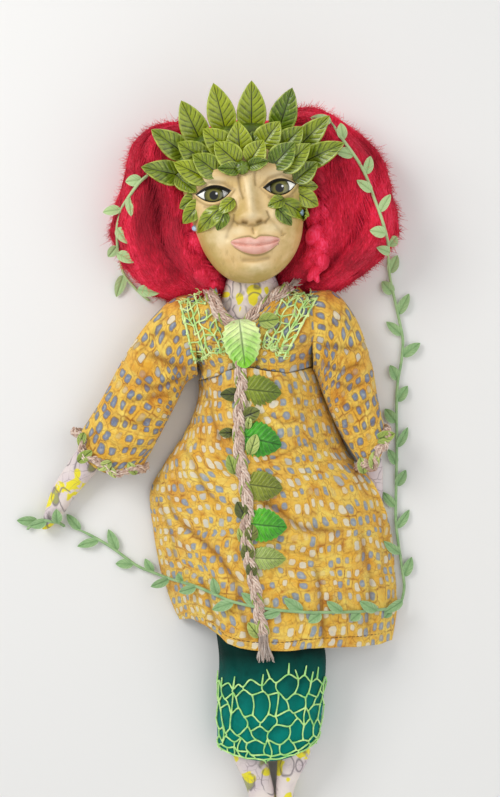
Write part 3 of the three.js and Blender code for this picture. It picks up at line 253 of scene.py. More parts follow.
# The row at a share of the way down a table, smooth between its rows
def rowAt(rows, place):
    spot = min(max(place, 0), 1) * (len(rows) - 1)
    index = min(int(spot), len(rows) - 2)
    t = spot - index
    near = [rows[max(index - 1, 0)], rows[index], rows[index + 1], rows[min(index + 2, len(rows) - 1)]]
    return [
        0.5 * (2 * b + (c - a) * t + (2 * a - 5 * b + 4 * c - d) * t**2 + (3 * b - a - 3 * c + d) * t**3)
        for a, b, c, d in zip(*near)
    ]


# A smooth path through points, cut into equal steps
def curveThrough(points, count):
    rows = [list(p) for p in points]
    fine = [Vector(rowAt(rows, i / 400)) for i in range(401)]
    lengths = measured(fine)
    path = []
    index = 0
    for step in range(count + 1):
        wanted = lengths[-1] * step / count
        while index < 399 and lengths[index + 1] < wanted:
            index += 1
        span = max(lengths[index + 1] - lengths[index], 1e-6)
        path.append(fine[index].lerp(fine[index + 1], min((wanted - lengths[index]) / span, 1)))
    return path


# The length of a path up to each of its points
def measured(points):
    lengths = [0]
    for before, after in zip(points, points[1:]):
        lengths.append(lengths[-1] + (after - before).length)
    return lengths


# A grid laid on shape(u, v), with its real lengths as UV and its marks as attributes
def surface(bm, columns, rows, shape, marks=None):
    layer = bm.loops.layers.uv.get("UVMap") or bm.loops.layers.uv.new("UVMap")
    places = [[shape(c / columns, r / rows) for c in range(columns + 1)] for r in range(rows + 1)]
    across = [measured(row) for row in places]
    along = measured([row[columns // 2] for row in places])
    layers = {name: bm.verts.layers.float.get(name) or bm.verts.layers.float.new(name) for name in marks or {}}
    made = bmesh.ops.create_grid(bm, x_segments=columns, y_segments=rows, size=0.5)["verts"]
    mapped = {}
    for vert in made:
        u, v = vert.co.x + 0.5, vert.co.y + 0.5
        column, row = round(u * columns), round(v * rows)
        vert.co = places[row][column]
        mapped[vert] = (across[row][column] - across[row][columns // 2], along[row])
        for name, level in layers.items():
            vert[level] = marks[name](u, v)
    for face in {face for vert in made for face in vert.link_faces}:
        for loop in face.loops:
            loop[layer].uv = Vector(mapped[loop.vert]) * mm
    return made


# Each point of a path with two directions across it
def frames(path):
    result = []
    side = None
    for index, point in enumerate(path):
        along = (path[min(index + 1, len(path) - 1)] - path[max(index - 1, 0)]).normalized()
        if side is None:
            side = along.cross(Vector((0, 0, 1)))
            if side.length < 0.05:
                side = Vector((1, 0, 0))
        side = (side - along * side.dot(along)).normalized()
        result.append((point, side, side.cross(along)))
    return result


# Round tube along a path; a radius(share) may narrow its ends
def tube(bm, path, radius, facets, closed=False, marks=None):
    placed = frames(path)
    steps = len(path) - 1
    reach = radius if callable(radius) else lambda share: radius

    def shape(u, v):
        point, side, up = placed[round(v * steps)]
        angle = -u * math.tau
        r = max(reach(v), 0.002)
        return point + side * (math.cos(angle) * r) + up * (math.sin(angle) * r)

    made = surface(bm, facets, steps, shape, marks)
    bmesh.ops.remove_doubles(bm, verts=made, dist=0.0008)
    if not closed:
        rims = [e for e in {e for v in made if v.is_valid for e in v.link_edges} if e.is_boundary]
        if rims:
            bmesh.ops.holes_fill(bm, edges=rims, sides=0)


# A radius that closes over the first and the last share "ends" of a tube
def rounded(radius, ends=0.06):
    return lambda share: radius * math.sqrt(max(min(share, 1 - share, ends) / ends, 0))


# Everything that makePiece turns into an object is drawn in millimetres
def makePiece(bm, name, body, finish, replaces, thick=0, weld=False, ride=True):
    if weld:
        bmesh.ops.remove_doubles(bm, verts=bm.verts, dist=0.001)
        bmesh.ops.recalc_face_normals(bm, faces=bm.faces)
    bmesh.ops.scale(bm, vec=(mm, mm, mm), verts=bm.verts)
    mesh = bpy.data.meshes.new(name)
    bm.to_mesh(mesh)
    bm.free()
    for face in mesh.polygons:
        face.use_smooth = True
    return placePiece(mesh, name, body, finish, replaces, thick, ride)


# thick is a wall in millimetres; a "stout" mark thins it where the piece comes to a point
def placePiece(mesh, name, body, finish, replaces, thick=0, ride=True):
    mesh.materials.append(finish.material)
    piece = bpy.data.objects.new(name, mesh)
    bpy.context.scene.collection.objects.link(piece)
    if thick:
        wall = piece.modifiers.new("wall", "SOLIDIFY")
        wall.thickness = thick * mm
        wall.offset = -1
        wall.use_even_offset = False
        if "stout" in mesh.attributes:
            group = piece.vertex_groups.new(name="stout")
            for vert, mark in zip(mesh.vertices, mesh.attributes["stout"].data):
                group.add([vert.index], mark.value, "REPLACE")
            wall.vertex_group, wall.thickness_vertex_group = "stout", 0.1
    if ride:
        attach(piece, body)
    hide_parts(*replaces)
    return piece


# One garment: cloth laid on shape(u, v), as fine and as thick as its sizes say
def garment(name, body, finish, node, sizes, shape, marks=None, ride=True):
    bm = bmesh.new()
    surface(bm, sizes["columns"], sizes["rows"], shape, marks)
    return makePiece(bm, name, body, finish, [node], sizes["thick"], weld=True, ride=ride)


# Many thin strands as one mesh: each is its points and their thickness
def strandMesh(name, strands, resolution=0, tone=0):
    curve = bpy.data.curves.new(name, "CURVE")
    curve.dimensions = "3D"
    curve.bevel_depth = mm
    curve.bevel_resolution = resolution
    curve.use_fill_caps = True
    for points, widths in strands:
        spline = curve.splines.new("POLY")
        spline.points.add(len(points) - 1)
        spline.points.foreach_set("co", [c for p in points for c in (p[0] * mm, p[1] * mm, p[2] * mm, 1)])
        spline.points.foreach_set("radius", widths)
    holder = bpy.data.objects.new(name + "_curve", curve)
    bpy.context.scene.collection.objects.link(holder)
    bpy.context.view_layer.update()
    mesh = bpy.data.meshes.new_from_object(holder.evaluated_get(bpy.context.evaluated_depsgraph_get()))
    bpy.data.objects.remove(holder)
    bpy.data.curves.remove(curve)
    mesh.name = name
    mesh.materials.clear()
    if tone:
        layer = mesh.attributes.new("tone", "FLOAT", "POINT")
        layer.data.foreach_set("value", [0.5 + noise.noise(vert.co * tone) * 0.9 for vert in mesh.vertices])
    for face in mesh.polygons:
        face.use_smooth = True
    return mesh


def strandPiece(name, strands, body, finish, node, ride=True, resolution=0, tone=0):
    mesh = strandMesh(name, strands, resolution, tone)
    return placePiece(mesh, name, body, finish, [node], ride=ride)


# The top of the named pieces at x, y, all in millimetres
def heightOn(*pieces):
    above, down = 400, Vector((0, 0, -1))
    trees = []
    for piece in pieces:
        points = [v.co / mm for v in piece.data.vertices]
        trees.append(BVHTree.FromPolygons(points, [list(p.vertices) for p in piece.data.polygons]))

    def height(x, y, missing=0):
        found = [tree.ray_cast(Vector((x, y, above)), down)[0] for tree in trees]
        heights = [hit.z for hit in found if hit]
        return max(heights) if heights else missing

    return height


def boxOf(name):
    low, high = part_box(name)
    return low / mm, high / mm


# Floor and light
stage = {
    "size": 4.2, "floor": (232, 231, 228), "shade": (214, 212, 208), "drop": 0.0004, "sky": 0.56,
    "skyTint": (0.97, 0.98, 1, 1), "aim": (0.003, 0.05, 0.03),
    # name, power, place and size in metres
    "lamps": [
        ("keyLamp", 11.8, (-0.95, 0.75, 1.0), 0.7), ("fillLamp", 6.5, (0.9, 0.1, 1.3), 1.3),
        ("rimLamp", 2.0, (0.1, -1.1, 0.9), 1.1),
    ],
}


def makeStage():
    bm = bmesh.new()
    bmesh.ops.create_grid(bm, x_segments=1, y_segments=1, size=stage["size"] / 2)
    mesh = bpy.data.meshes.new("floor")
    bm.to_mesh(mesh)
    bm.free()
    finish = Finish("paleFloor", 0.9)
    place = finish.spot()
    grain = finish.noise(place, 6, 2)
    finish.paint(finish.mixed(grain * 0.06, colour(*stage["floor"]), colour(*stage["shade"])))
    mesh.materials.append(finish.material)
    floor = bpy.data.objects.new("floor", mesh)
    floor.location = (0, 0, cadBox[0].z - stage["drop"])
    bpy.context.scene.collection.objects.link(floor)
    world = bpy.data.worlds.new("studio")
    world.use_nodes = True
    bpy.context.scene.world = world
    back = world.node_tree.nodes["Background"]
    back.inputs["Color"].default_value = stage["skyTint"]
    back.inputs["Strength"].default_value = stage["sky"]
    for name, power, place, size in stage["lamps"]:
        data = bpy.data.lights.new(name, "AREA")
        data.energy = power
        data.size = size
        lamp = bpy.data.objects.new(name, data)
        lamp.location = place
        aim = Vector(stage["aim"]) - lamp.location
        lamp.rotation_euler = aim.to_track_quat("-Z", "Y").to_euler()
        bpy.context.scene.collection.objects.link(lamp)


makeStage()
print("stage set")


# Distance from a line of points, the same with its side as sign, and the share along it
def lineAt(points, x, y):
    best = (99, 99, 0)
    total = sum(math.dist(a, b) for a, b in zip(points, points[1:]))
    gone = 0
    for (x0, y0), (x1, y1) in zip(points, points[1:]):
        dx, dy = x1 - x0, y1 - y0
        length = math.hypot(dx, dy)
        share = ((x - x0) * dx + (y - y0) * dy) / length**2
        held = min(max(share, 0), 1)
        far = math.hypot(x - x0 - dx * held, y - y0 - dy * held)
        if far < best[0]:
            sign = 1 if (x - x0) * dy - (y - y0) * dx > 0 else -1
            best = (far, sign * far, (gone + length * held) / total)
        gone += length
    return best


# Height change and depth of shade of the creases
def foldRelief(folds, x, y):
    total = shade = 0
    for width, depth, points in folds:
        if min(p[0] for p in points) - 16 < x < max(p[0] for p in points) + 16:
            far, signed, along = lineAt(points, x, y)
            if far < 16:
                wander = 1.1 * math.sin(along * 9 + points[0][0])
                fade = smooth(-0.02, 0.18, along) * (1 - smooth(0.75, 1.02, along))
                cut = hump(signed + wander, width)
                total += depth * fade * (0.75 * hump(signed + wander - width * 2.2, width * 2) - cut)
                shade = max(shade, fade * hump(signed + wander, width * 0.75) * min(depth / 3, 1))
    return total, shade


# Over the front from one side to the other, then back underneath: -1 and 1 are the sides
def aroundAt(u, front, back):
    if u < front:
        return True, -math.cos(u / front * math.pi)
    return False, 1 - 2 * (u - front) / back


# Oval sections between an inner and an outer edge point, from low to high
def ovalPoint(row, u, power=2.4, lift=0.0):
    innerX, innerY, outerX, outerY, low, high = row
    angle = u * math.tau
    c, s = math.cos(angle), math.sin(angle)
    across = math.copysign(abs(c) ** (2 / power), c)
    up = math.copysign(abs(s) ** (2 / power), s)
    span = max(math.hypot(outerX - innerX, outerY - innerY), 0.01)
    reach = 0.5 + lift / span
    return Vector((
        (innerX + outerX) / 2 + (outerX - innerX) * reach * across,
        (innerY + outerY) / 2 + (outerY - innerY) * reach * across,
        (low + high) / 2 + ((high - low) / 2 + lift) * up,
    ))


# A section drawn in toward its middle
def narrowed(row, share):
    innerX, innerY, outerX, outerY, low, high = row
    cx, cy, cz = (innerX + outerX) / 2, (innerY + outerY) / 2, (low + high) / 2
    return [blend(cx, innerX, share), blend(cy, innerY, share), blend(cx, outerX, share),
            blend(cy, outerY, share), blend(cz, low, share), blend(cz, high, share)]


shoulder = {"y": 136.0, "z": 25, "radius": 13, "right": -43.12, "left": 55.88}


# Printed cotton: pale ground, olive ovals, yellow patches and grey outlines
def printedFinish():
    finish = Finish("printedCotton", 0.85, Sheen_Weight=0.1)
    place = finish.spot()
    bent = finish.bent(place, finish.noise(place, 50, 2, output=1), 0.012)
    cloud = finish.noise(place, 34, 3)
    tint = finish.mixed(cloud.rise(0.35, 0.65), colour(238, 226, 216), colour(206, 190, 196))
    oval = finish.scaled(bent, 78, 50, 40)
    far = finish.cells(oval, 1)
    kind = finish.cells(oval, 1, output=1)
    inside = 1 - far.rise(0.36, 0.44)
    ring = (1 - (abs(far - 0.42) / 0.07)).clamped()
    pick = finish.axis(kind, 0)
    olive = finish.mixed((far / 0.42).clamped(), colour(176, 178, 104), colour(134, 140, 60))
    tint = finish.mixed(inside * pick.rise(0.3, 0.36) * (1 - finish.mark("plain") * 0.8) * 0.85, tint, olive)
    yellow = finish.noise(place, 52, 1).rise(0.565, 0.585) * (1 - finish.noise(place, 130, 2).rise(0.6, 0.66))
    yellow = yellow * (1 - finish.mark("plain")) + finish.mark("yellow").rise(0.5, 0.65) * finish.mark("plain")
    tint = finish.mixed(yellow.clamped() * 0.95, tint, colour(240, 226, 14))
    tint = finish.mixed(ring * finish.noise(place, 90, 1).rise(0.36, 0.5) * 0.8, tint, colour(96, 88, 92))
    veins = finish.cells(bent, 120, settings={"feature": "DISTANCE_TO_EDGE"})
    tint = finish.mixed((1 - veins.rise(0, 0.05)) * cloud.rise(0.45, 0.6) * 0.8, tint, colour(128, 112, 112))
    finish.paint(tint)
    weave = finish.noise(place, 2600, 2)
    finish.relief(weave * 0.25 + finish.noise(place, 160, 3), 0.5, 0.4)
    return finish


printedCotton = printedFinish()

arm = {
    "length": 207,
    "thick": 24,
    "columns": 40,
    "rows": 90,
    "rightShares": [
        (-0.075, 0.045, -0.05, -0.07, 0.15, 1.15), (-0.14, -0.04, -0.07, -0.15, 0.13, 1.1),
        (-0.3, -0.245, -0.21, -0.33, 0.12, 1), (-0.48, -0.475, -0.4, -0.555, 0.12, 0.88),
        (-0.545, -0.56, -0.458, -0.615, 0.1, 0.8), (-0.584, -0.62, -0.507, -0.667, 0.05, 0.74),
        (-0.616, -0.695, -0.54, -0.717, 0.03, 0.64), (-0.634, -0.762, -0.592, -0.768, 0.02, 0.5),
        (-0.638, -0.784, -0.62, -0.784, 0.05, 0.3),
    ],
    "leftShares": [
        (0.07, 0.045, 0.05, -0.07, 0.15, 1.15), (0.15, -0.05, 0.055, -0.11, 0.13, 1.1),
        (0.19, -0.27, 0.095, -0.31, 0.12, 1), (0.222, -0.46, 0.124, -0.5, 0.12, 0.86),
        (0.246, -0.59, 0.16, -0.61, 0.06, 0.6), (0.243, -0.7, 0.175, -0.71, 0.01, 0.4),
        (0.235, -0.83, 0.18, -0.835, 0.01, 0.38), (0.225, -0.91, 0.195, -0.912, 0.03, 0.3),
    ],
}


bag = {"power": 2.3, "rootEnd": 0.02, "tipEnd": 0.05, "tipStart": 0.95, "fill": 0.85}


# A closed bag of printed cotton through oval sections; its two ends are rounded off
def stuffed(name, node, rows, columns, count, seed, lumps=0.5, marks=None):
    def shape(u, v):
        row = rowAt(rows, v)
        close = math.sqrt(max(1 - (max(v - bag["tipStart"], 0) / bag["tipEnd"]) ** 2, 0))
        close *= math.sqrt(min(v / bag["rootEnd"], 1))
        point = ovalPoint(narrowed(row, close), u, bag["power"])
        out = point - ovalPoint(narrowed(row, 0), u, bag["power"])
        lump = noise.noise(point * 0.06 + Vector((seed, 0, 0))) * lumps
        return point + (out.normalized() * lump if out.length > 0.5 else Vector())

    around = {mark: lambda u, v, at=at: at(shape(u, v)) for mark, at in (marks or {}).items()}
    bm = bmesh.new()
    surface(bm, columns, count, shape, around)
    piece = makePiece(bm, name, node, printedCotton, [node], weld=True)
    return piece


def makeArm(side):
    sign = -1 if side == "right" else 1
    seamX, y, z, radius = shoulder[side], shoulder["y"], shoulder["z"], shoulder["radius"]
    rows = []
    for outX, outY, inX, inY, low, high in arm[side + "Shares"]:
        rows.append((seamX + arm["length"] * inX, y + arm["length"] * inY, seamX + arm["length"] * outX,
                     y + arm["length"] * outY, arm["thick"] * low, arm["thick"] * high))
    root = (seamX - sign * 3, y - radius * 0.9, seamX - sign * 3, y + radius * 0.9, z - radius, z + radius)
    return stuffed("arm" + side.capitalize(), "arm_" + side, [root] + rows, arm["columns"], arm["rows"], 3)


arms = {side: makeArm(side) for side in sides}

body = {"x": 3.78, "hipY": -64, "hipZ": 29.3}
leg = {
    "length": 266,
    "spread": 40,
    "width": 39,
    "depth": 48,
    "columns": 48,
    "rows": 120,
    "rightShares": [
        (0.12, -0.46, 0.93, 0.03, 0.9), (0.27, -0.42, 0.86, 0.03, 0.84), (0.37, -0.44, 0.8, 0.01, 0.75),
        (0.49, -0.42, 0.74, 0, 0.66), (0.58, -0.42, 0.69, -0.02, 0.56), (0.7, -0.23, 0.54, -0.06, 0.42),
        (0.84, -0.24, 0.5, -0.1, 0.4), (0.91, -0.25, 0.5, -0.11, 0.55), (0.96, -0.26, 0.55, -0.11, 0.78),
        (1, -0.26, 0.44, -0.09, 0.7),
    ],
    "leftShares": [
        (0.12, 0.49, 0.98, 0.03, 0.93), (0.27, 0.44, 0.88, 0.03, 0.84), (0.37, 0.45, 0.8, 0.01, 0.75),
        (0.49, 0.46, 0.72, 0, 0.66), (0.58, 0.46, 0.68, -0.02, 0.56), (0.7, 0.24, 0.37, -0.06, 0.4),
        (0.84, 0.26, 0.4, -0.1, 0.38), (0.91, 0.3, 0.46, -0.11, 0.52), (0.96, 0.31, 0.5, -0.11, 0.72),
        (1, 0.31, 0.4, -0.09, 0.64),
    ],
}


def makeLeg(side):
    sign = -1 if side == "right" else 1
    hipX = body["x"] + sign * leg["spread"] / 2
    radius = leg["depth"] / 2
    rows = []
    for share in (0.97, 0.8, 0.45, 0):
        bulge = math.sqrt(1 - share * share)
        half = leg["width"] / 2 * blend(0.72, 0.96, bulge)
        y = body["hipY"] + radius * share
        rows.append((hipX - half, y, hipX + half, y,
                     body["hipZ"] - radius * bulge * 0.96, body["hipZ"] + radius * bulge * 0.9))
    for down, across, width, low, high in leg[side + "Shares"]:
        x = body["x"] + leg["spread"] * across
        half = leg["width"] / 2 * width
        y = body["hipY"] - leg["length"] * down
        base = body["hipZ"] - radius
        rows.append((x - half, y, x + half, y, max(base + leg["depth"] * low, 0.1), base + leg["depth"] * high))
    return stuffed("leg" + side.capitalize(), "leg_" + side, rows, leg["columns"], leg["rows"], 5)


legs = {side: makeLeg(side) for side in sides}

torso = {
    "length": 216, "width": 84, "depth": 48, "low": 2.1, "neck": 37, "neckHeight": 24, "neckX": 6.4,
    "columns": 72, "rows": 130,
    "rowShares": [
        (0.13, 0.95, 0.98), (0.2, 1, 1), (0.36, 0.88, 0.98), (0.56, 0.8, 0.95), (0.72, 0.88, 0.97),
        (0.86, 0.97, 0.97), (0.926, 1, 0.93), (0.975, 0.74, 0.86),
    ],
}


# Yellow drips on the neck: x, y, half width, half length
drips = [(8.4, 158.5, 6, 5), (7.2, 152.6, 3.8, 6), (-3.4, 153.6, 3, 4), (-3.8, 148, 1.1, 6), (-14.6, 157, 3.6, 2.4),
         (18.5, 158.5, 1.6, 3.4)]


def yellowAt(point):
    return max(1.6 - math.hypot((point.x - x) / a, (point.y - y) / b) for x, y, a, b in drips)


def makeTorso():
    rows = []
    for index, (along, width, top) in enumerate(torso["rowShares"]):
        y = body["hipY"] + (leg["depth"] / 2 + 0.6 if index == 0 else torso["length"] * along)
        half = torso["width"] / 2 * width * 0.985
        rows.append((body["x"] - half, y, body["x"] + half, y, torso["low"] + 0.3, torso["low"] + torso["depth"] * top))
    neckY = body["hipY"] + torso["length"]
    for y, wide in ((neckY + 3, 1.36), (neckY + 11, 1.2), (neckY + torso["neckHeight"] - 1, 0.95)):
        half = torso["neck"] / 2 * wide
        rows.append((torso["neckX"] - half, y, torso["neckX"] + half, y,
                     torso["low"] + torso["depth"] * 0.2, torso["low"] + torso["depth"] * 0.93))
    return stuffed("torsoStuffed", "torso", rows, torso["columns"], torso["rows"], 8, 0.4,
                   {"plain": lambda point: 1.0, "yellow": yellowAt})


torsoPiece = makeTorso()
print("stuffed limbs made")

# Underskirt tube
under = {
    "length": 152, "top": 56.4, "low": 2.2, "centre": 3.0, "columns": 150, "rows": 90, "thick": 0.8,
    "front": 0.66, "back": 0.34,
    # down, left, right, top, bow of the hem
    "rowShares": [
        (0.08, -1.06, 1.06, 1, 0), (0.3, -1.02, 1.08, 0.98, 0), (0.48, -0.98, 1.24, 0.93, 0),
        (0.7, -1.06, 1.16, 0.83, 0), (0.9, -1.1, 1.03, 0.73, 0.03), (0.94, -1.09, 0.94, 0.7, 0.07),
    ],
    "folds": [
        (3.0, 2.4, [(-20, -120), (-26, -214)]), (3.4, 2.6, [(6, -110), (4, -214)]), (3, 2.2, [(30, -120), (24, -212)]),
        (2.2, 1.6, [(-6, -150), (-14, -216)]), (2.4, 1.8, [(44, -130), (42, -200)]),
    ],
}
overLegs = heightOn(*legs.values())


# Garments: u goes around, v from the top down
def underPoint(u, v, lift=0.0):
    down, left, right, top, bow = rowAt(under["rowShares"], v)
    front, share = aroundAt(u, under["front"], under["back"])
    leftX, rightX = body["x"] + leg["width"] * left, body["x"] + leg["width"] * right
    centre = under["centre"]
    x = centre + share * ((centre - leftX + lift) if share < 0 else (rightX - centre + lift))
    y = body["hipY"] - under["length"] * (down + bow * (1 - share * share))
    edge = under["top"] * 0.4 * top
    if not front:
        return Vector((x, y, under["low"] + edge * 0.9 * abs(share) ** 8 - lift * 0.5))
    bell = max(1 - abs(share) ** 2.8, 0) ** 0.5
    z = edge + (under["top"] * top - edge) * bell
    z += (foldRelief(under["folds"], x, y)[0] + noise.noise(Vector((x * 0.06, y * 0.03, 3))) * 1.4) * bell * 0.8
    z = max(z, max(overLegs(x + a, y) for a in (-3, 0, 3)) + 1.4)
    return Vector((x, y, z + lift * (0.4 + 0.6 * bell)))


# Deep and light teal, and a brighter teal painted as light on the lower skirt
tealPaint = {"deep": (0, 26, 22), "light": (0, 48, 40), "bright": (0, 128, 116)}


def tealFinish():
    finish = Finish("tealCotton", 0.9, Sheen_Weight=0.02, Specular_IOR_Level=0.15)
    cloth = finish.cloth()
    cloud = finish.noise(cloth, 40, 4, rough=0.6)
    tint = finish.mixed(cloud.rise(0.3, 0.7), colour(*tealPaint["deep"]), colour(*tealPaint["light"]))
    # Painted light: the teal turns brighter towards the hem, away from the shade under the tunic
    down = (finish.axis(finish.spot(), 1) * -1 - 0.13).rise(0, 0.05) * cloud.rise(0.1, 0.5)
    finish.paint(finish.mixed(down, tint, colour(*tealPaint["bright"])))
    warp = (finish.axis(cloth, 0) * 14000).sine() * (finish.axis(cloth, 1) * 14000).sine()
    finish.relief(warp * 0.15 + finish.noise(cloth, 150, 3), 0.5, 0.5)
    return finish


underskirt = garment("underskirtTube", "lower_skirt", tealFinish(), "underskirt", under, underPoint)

# Batik cotton: mustard ground, rust crackle and rows of small oblong dashes, with shade painted into the creases
batik = {"pitch": 9.4, "dash": 0.285, "weave": 0.45, "ground": (244, 186, 56)}


def batikFinish(name, dashTint, paleShare, outline, seed):
    finish = Finish(name, 0.82, Sheen_Weight=0.1, Sheen_Roughness=0.5)
    cloth = finish.cloth()
    moved = finish.node("VectorMath", {"operation": "ADD"}, {0: cloth, 1: (seed, seed * 0.7, 0)})
    bent = finish.bent(moved, finish.noise(moved, 16, 2, output=1), 0.026)
    mottle = finish.noise(bent, 80, 4, rough=0.6)
    shade = finish.noise(bent, 34, 4, rough=0.65)
    tint = finish.mixed(mottle.rise(0.35, 0.68), colour(*batik["ground"]), colour(255, 228, 110))
    tint = finish.mixed(shade.rise(0.47, 0.72) * 0.8, tint, colour(222, 144, 30))
    rust = finish.noise(bent, 95, 4, rough=0.6).rise(0.54, 0.68) * (shade.rise(0.35, 0.6) * 0.6 + 0.2)
    tint = finish.mixed(rust, tint, colour(194, 112, 20))
    # Dashes: one rounded oblong in each cell of a stretched, bent grid
    wobble = finish.bent(bent, finish.noise(moved, 240, 2, output=1), 0.0022)
    scaled = finish.scaled(wobble, 1000 / batik["pitch"] * 1.16, 1000 / batik["pitch"] * 0.84, 0)
    settings = {"distance": "MINKOWSKI", "voronoi_dimensions": "2D"}
    gap = finish.cells(scaled, 1, settings=settings, loose=0.42, power=2.9)
    kind = finish.cells(scaled, 1, output=1, settings=settings, loose=0.42, power=2.9)
    size = batik["dash"] + (finish.axis(kind, 1) - 0.5) * 0.1
    inside = 1 - ((gap - size + 0.05) / 0.07).clamped()
    ring = (1 - (abs(gap - size - 0.01) / 0.07)).clamped()
    # Rust wash runs between the dashes in thin crackled lines
    between = finish.cells(scaled, 1, loose=0.42, settings={"feature": "DISTANCE_TO_EDGE", "voronoi_dimensions": "2D"})
    fine = finish.cells(wobble, 210, settings={"feature": "DISTANCE_TO_EDGE"})
    breaks = finish.noise(moved, 46, 3).rise(0.4, 0.62)
    crack = (1 - between.rise(0.0, 0.12)) * breaks * 0.95 + (1 - fine.rise(0.0, 0.1)) * (1 - breaks) * 0.6
    tint = finish.mixed(crack.clamped() * finish.noise(moved, 150, 2).rise(0.3, 0.6), tint, colour(158, 82, 16))
    patch = finish.noise(moved, 11, 1)
    pale = (finish.axis(kind, 0) * 0.5 + patch * 0.5).rise(0.74 - paleShare * 0.5, 0.82 - paleShare * 0.5)
    dash = finish.mixed(pale, colour(*dashTint), colour(240, 228, 196))
    heart = (gap / size).rise(0.95, 0.2) * finish.noise(moved, 300, 3).rise(0.35, 0.6)
    dash = finish.mixed(heart * 0.55, dash, colour(206, 214, 214))
    shown = finish.axis(kind, 2).rise(0.06, 0.16)
    tint = finish.mixed(ring * outline * shown, tint, colour(96, 64, 40))
    tint = finish.mixed(inside * shown * 0.9, tint, dash)
    # Painted shade: the "crease" mark darkens the cloth towards rust brown along the folds
    crease = finish.mark("crease")
    tint = finish.mixed(crease.clamped() * 0.62, tint, colour(122, 66, 20))
    finish.paint(tint)
    warp = (finish.axis(cloth, 0) * (math.tau * 1000 / batik["weave"])).sine()
    weft = (finish.axis(cloth, 1) * (math.tau * 1000 / batik["weave"])).sine()
    creases = finish.noise(bent, 110, 4, rough=0.65)
    streaks = finish.noise(finish.scaled(bent, 95, 26), 1, 3)
    finish.relief(warp * weft * 0.1 + creases * 2.6 + finish.noise(bent, 42, 2) * 4 + streaks * 3, 0.8, 0.85)
    return finish


batikSkirt = batikFinish("batikSkirt", (128, 150, 174), 0.55, 0.25, 0.0)
batikBodice = batikFinish("batikBodice", (100, 130, 166), 0.2, 0.5, 1.3)
batikSleeve = batikFinish("batikSleeve", (86, 118, 160), 0.1, 0.7, 2.7)

# Cloth lying on the floor: bell-shaped front, flat back
skirtBox = boxOf("tunic_skirt")
skirt = {
    "seam": skirtBox[1].y,
    "centre": (skirtBox[0].x + skirtBox[1].x) / 2 - 9.7,
    "top": 61.4,
    "columns": 200,
    "rows": 170,
    "thick": 0.9,
    "front": 0.72,
    "back": 0.28,
    # left x y, right x y, top share, edge share
    "outline": [
        (-40, 92, 56.8, 92, 0.93, 0.3), (-40.3, 77, 60.9, 75.5, 0.95, 0.22), (-50, 53, 68.9, 53.7, 0.98, 0.16),
        (-70.4, 23.7, 78.9, 24.6, 1, 0.15), (-83.8, 0.5, 98.9, -3.5, 1, 0.15), (-82.9, -30.7, 110.3, -38.5, 1, 0.13),
        (-78.7, -63.7, 112.5, -77, 0.97, 0.11), (-71, -91, 112.8, -104.2, 0.9, 0.1),
        (-65.2, -105.3, 107.4, -131, 0.85, 0.1),
    ],
    # Hem between its corners: share across, mm down
    "hem": [
        (-0.2, 0), (0, 0), (0.07, -1.8), (0.14, 1.6), (0.22, 7.6), (0.28, 14.4), (0.35, 16.7), (0.43, 17), (0.57, 15.4),
        (0.71, 11), (0.85, 8.1), (0.94, 4.9), (1, 0), (1.2, 0),
    ],
    # The bust seam: x, y
    "seamLine": [
        (-60, 90), (-43, 90), (-28, 92.3), (-15, 97), (-6, 98.6), (2, 98.2), (18, 94.2), (33, 92), (44, 94),
        (57, 97), (70, 97),
    ],
    # Creases: half width, depth, points; a ridge stands below or beside each
    "folds": [
        (3.2, 4.6, [(-73, 10), (-63, -18), (-32, -50), (-5, -86)]), (2.6, 3.2, [(-79, 4), (-71, -23), (-62, -62)]),
        (3.4, 5.0, [(0, -8), (19, -17), (38, -31), (76, -40)]), (1.6, 2.0, [(-3, 21), (27, 28), (49, 35), (78, 38)]),
        (2.4, 3.4, [(-39, 92), (-26, 52), (-20, 30)]), (1.6, 1.6, [(48, 54), (73, 60)]),
        (1.8, 2.0, [(12, 60), (26, 52), (46, 56)]), (2.6, 2.6, [(-58, 44), (-40, 8), (-24, -14)]),
        (2.2, 2.0, [(30, 94), (34, 78), (44, 62)]), (3.0, 3.0, [(44, -58), (50, -90), (48, -132)]),
        (3.2, 3.0, [(84, -30), (90, -72), (86, -126)]), (2.4, 2.4, [(-46, -62), (-38, -92), (-30, -112)]),
        (3.0, 2.8, [(-18, -70), (-12, -98), (-10, -126)]), (2.2, 2.0, [(60, 40), (84, 6), (96, -18)]),
        (2.0, 1.8, [(16, -44), (34, -52), (56, -58)]), (1.4, 1.5, [(52, 92), (50, 70), (56, 48)]),
        (1.2, 1.4, [(20, 92), (22, 76)]), (1.2, 1.4, [(40, 93), (42, 78)]), (1.2, 1.2, [(-26, 92), (-24, 76)]),
        (2.6, 2.2, [(100, -20), (104, -60), (98, -96)]), (1.8, 1.6, [(6, 16), (12, -2), (8, -30)]),
    ],
}
underTunic = heightOn(underskirt, *arms.values(), *legs.values())


# The value at a place in a table of (place, value), half eased between its rows
def tableAt(rows, place):
    for (x0, y0), (x1, y1) in zip(rows, rows[1:]):
        if place <= x1:
            return blend(y0, y1, smooth(x0, x1, place) * 0.5 + (place - x0) / (x1 - x0) * 0.5)
    return rows[-1][1]
